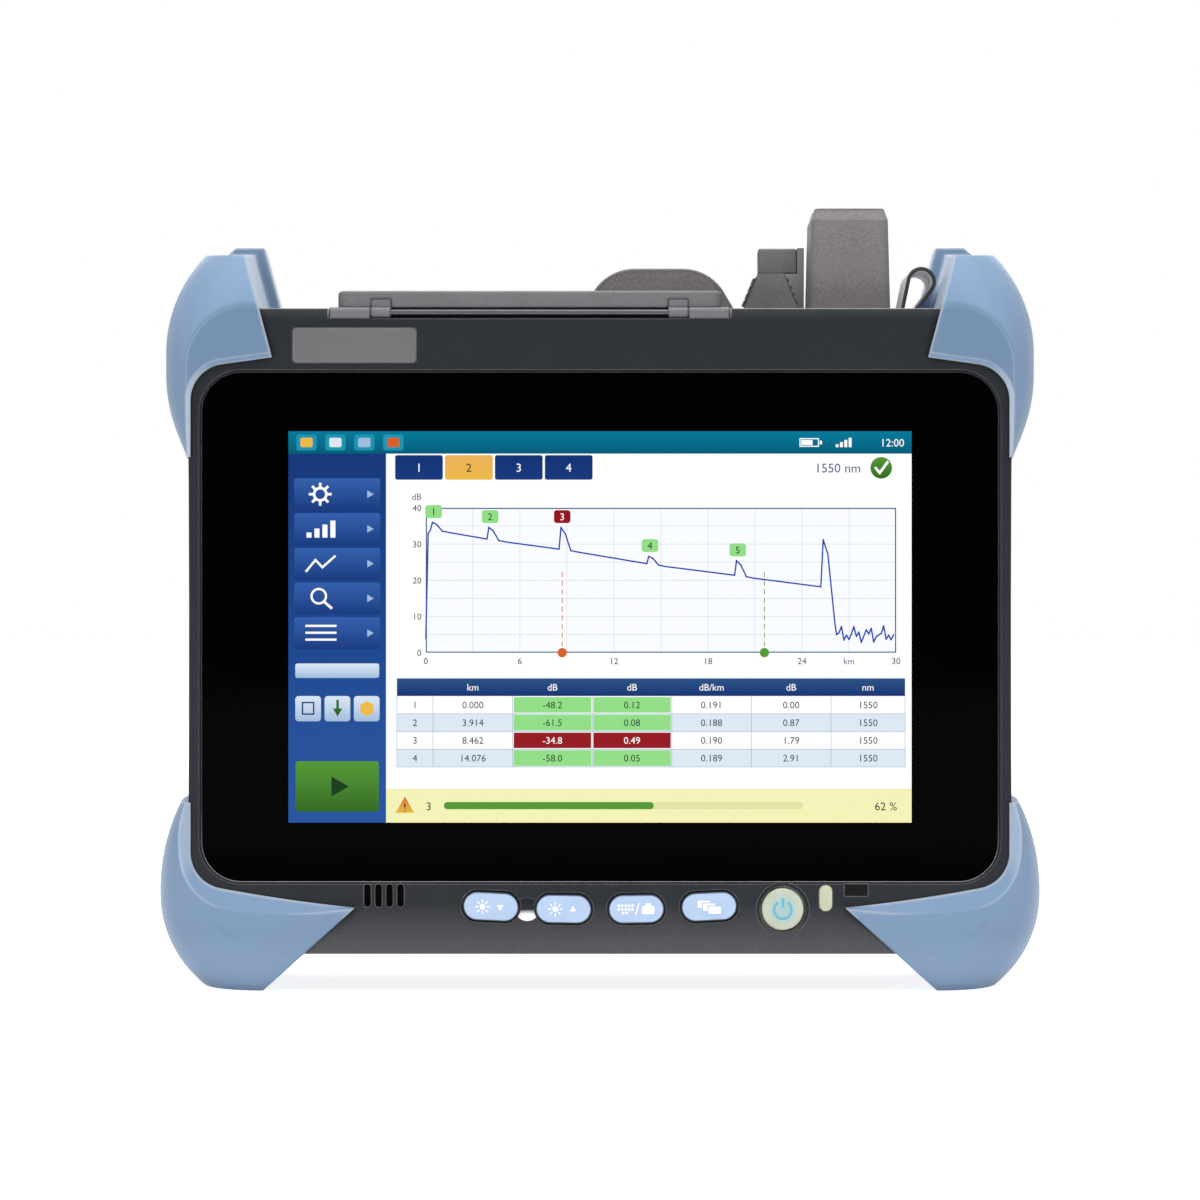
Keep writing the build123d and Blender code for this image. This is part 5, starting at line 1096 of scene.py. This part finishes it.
class REFLECTOMETER_OT_inside(bpy.types.Operator):
    """Finish what lies inside the housing"""

    bl_idname = "reflectometer.inside"
    bl_label = "Inside"

    def execute(self, context):
        dress(["fan_frame", "fan_rotor"], moulded("inner_black", finish_colour("black"), 0.55))
        dress(["speaker"], moulded("speaker_black", srgb(8, 8, 9), 0.8, gloss=0.1))
        dress(["main_board", "key_board", "port_board", "module_board"], circuit_board())
        alloy = metal("inner_alloy", srgb(190, 191, 193), 0.4)
        dress(["chassis_frame", "module_case", "laser_block", "heat_sink", "dome_switches"], alloy)
        dress(["display_panel"], moulded("panel_back", srgb(70, 71, 74), 0.4))
        dress(["battery_pack"], moulded("battery_wrap", srgb(46, 54, 78), 0.3))
        return {"FINISHED"}


# Stage


LAMPS = (  # name, place, size, watts
    ("top_softbox", (0.0, -0.4, 1.25), (1.8, 1.2), 15.0),
    ("top_card", (0.0, 0.02, 0.75), (0.4, 0.2), 1.5),
    ("left_softbox", (-0.7, -1.5, 0.75), (0.8, 1.0), 2.0),
    ("right_softbox", (0.7, -1.5, 0.75), (0.8, 1.0), 1.5),
    ("front_card", (0.0, -0.5, 0.02), (0.9, 0.1), 0.95),
    ("rear_softbox", (0.0, 1.2, 0.9), (1.4, 0.8), 6.0),
)
AMBIENT = 0.25
FLOOR_GLOW = 0.8


def add_lamp(name, place, size, watts):
    """A soft box that points at the middle of the instrument."""
    data = bpy.data.lights.new(name, "AREA")
    data.shape = "RECTANGLE"
    data.size, data.size_y = size
    data.energy = watts
    lamp = bpy.data.objects.new(name, data)
    lamp.location = place
    middle = (Vector(CAD_BOX[0]) + Vector(CAD_BOX[1])) / 2
    lamp.rotation_euler = (middle - Vector(place)).to_track_quat("-Z", "Y").to_euler()
    bpy.context.scene.collection.objects.link(lamp)


def seen_or_mirrored(tree):
    """1 for rays from the camera, gloss or glass, and 0 for those that light the object."""
    path = tree.nodes.new("ShaderNodeLightPath")
    either = path.outputs["Is Camera Ray"]
    for name in ("Is Glossy Ray", "Is Transmission Ray"):
        larger = tree.nodes.new("ShaderNodeMath")
        larger.operation = "MAXIMUM"
        tree.links.new(either, larger.inputs[0])
        tree.links.new(path.outputs[name], larger.inputs[1])
        either = larger.outputs[0]
    return either


def floor_material():
    """Pale floor that reads as white, apart from a faint shadow."""
    shade = Shade("studio_floor", (0.9, 0.9, 0.9), 0.8, gloss=0.1)
    glow = shade.spread(seen_or_mirrored(shade.tree), 0.0, FLOOR_GLOW, 0.0, 1.0)
    shade.set("Emission Color", (1.0, 1.0, 1.0, 1.0))
    shade.link(glow, shade.shader.inputs["Emission Strength"])
    return shade.mottle(0.5, 0.01).material


def light_world():
    """White behind everything that is seen or mirrored, and an even soft light on the object."""
    world = bpy.data.worlds.new("studio")
    bpy.context.scene.world = world
    world.use_nodes = True
    tree = world.node_tree
    background = tree.nodes["Background"]
    background.inputs["Color"].default_value = (1.0, 1.0, 1.0, 1.0)
    strength = tree.nodes.new("ShaderNodeMapRange")
    strength.inputs["To Min"].default_value = AMBIENT
    tree.links.new(seen_or_mirrored(tree), strength.inputs["Value"])
    tree.links.new(strength.outputs["Result"], background.inputs["Strength"])


class REFLECTOMETER_OT_stage(bpy.types.Operator):
    """Lay the floor, hang the lamps and set the camera"""

    bl_idname = "reflectometer.stage"
    bl_label = "Stage"

    def execute(self, context):
        scene = context.scene
        scene.view_settings.view_transform = "Standard"
        mesh = bmesh.new()
        bmesh.ops.create_grid(mesh, x_segments=1, y_segments=1, size=6.0)
        data = bpy.data.meshes.new("studio_floor")
        mesh.to_mesh(data)
        mesh.free()
        floor = bpy.data.objects.new("studio_floor", data)
        scene.collection.objects.link(floor)
        data.materials.append(floor_material())
        light_world()
        for lamp in LAMPS:
            add_lamp(*lamp)
        sizes = settings().sizes
        lens = bpy.data.cameras.new("camera")
        lens.lens = sizes.camera_lens
        lens.sensor_width = 36.0
        camera = bpy.data.objects.new("camera", lens)
        camera.location = (0.0, GLASS_LOW.y - sizes.camera_distance, sizes.camera_height)
        camera.rotation_euler = (radians(90), 0.0, 0.0)
        scene.collection.objects.link(camera)
        scene.camera = camera
        return {"FINISHED"}


OPERATORS = (
    REFLECTOMETER_OT_housing,
    REFLECTOMETER_OT_bumpers,
    REFLECTOMETER_OT_display,
    REFLECTOMETER_OT_keys,
    REFLECTOMETER_OT_ports,
    REFLECTOMETER_OT_module,
    REFLECTOMETER_OT_strap,
    REFLECTOMETER_OT_inside,
    REFLECTOMETER_OT_stage,
)


class REFLECTOMETER_PT_panel(bpy.types.Panel):
    """Lists the steps that dress the reflectometer"""

    bl_idname = "REFLECTOMETER_PT_panel"
    bl_label = "Reflectometer"
    bl_space_type = "VIEW_3D"
    bl_region_type = "UI"
    bl_category = "Reflectometer"

    def draw(self, context):
        for operator in OPERATORS:
            self.layout.operator(operator.bl_idname)
        for group in (settings().finishes, settings().sizes):
            for name in group.bl_rna.properties.keys():
                if name not in ("rna_type", "name"):
                    self.layout.prop(group, name)


CLASSES = (
    ReflectometerFinishes,
    ReflectometerSizes,
    ReflectometerSettings,
    *OPERATORS,
    REFLECTOMETER_PT_panel,
)


def register():
    for cls in CLASSES:
        bpy.utils.register_class(cls)
    bpy.types.Scene.reflectometer = PointerProperty(type=ReflectometerSettings)


def unregister():
    del bpy.types.Scene.reflectometer
    for cls in reversed(CLASSES):
        bpy.utils.unregister_class(cls)


def main():
    register()
    for operator in OPERATORS:
        group, step = operator.bl_idname.split(".")
        getattr(getattr(bpy.ops, group), step)()


if __name__ == "__main__":
    main()
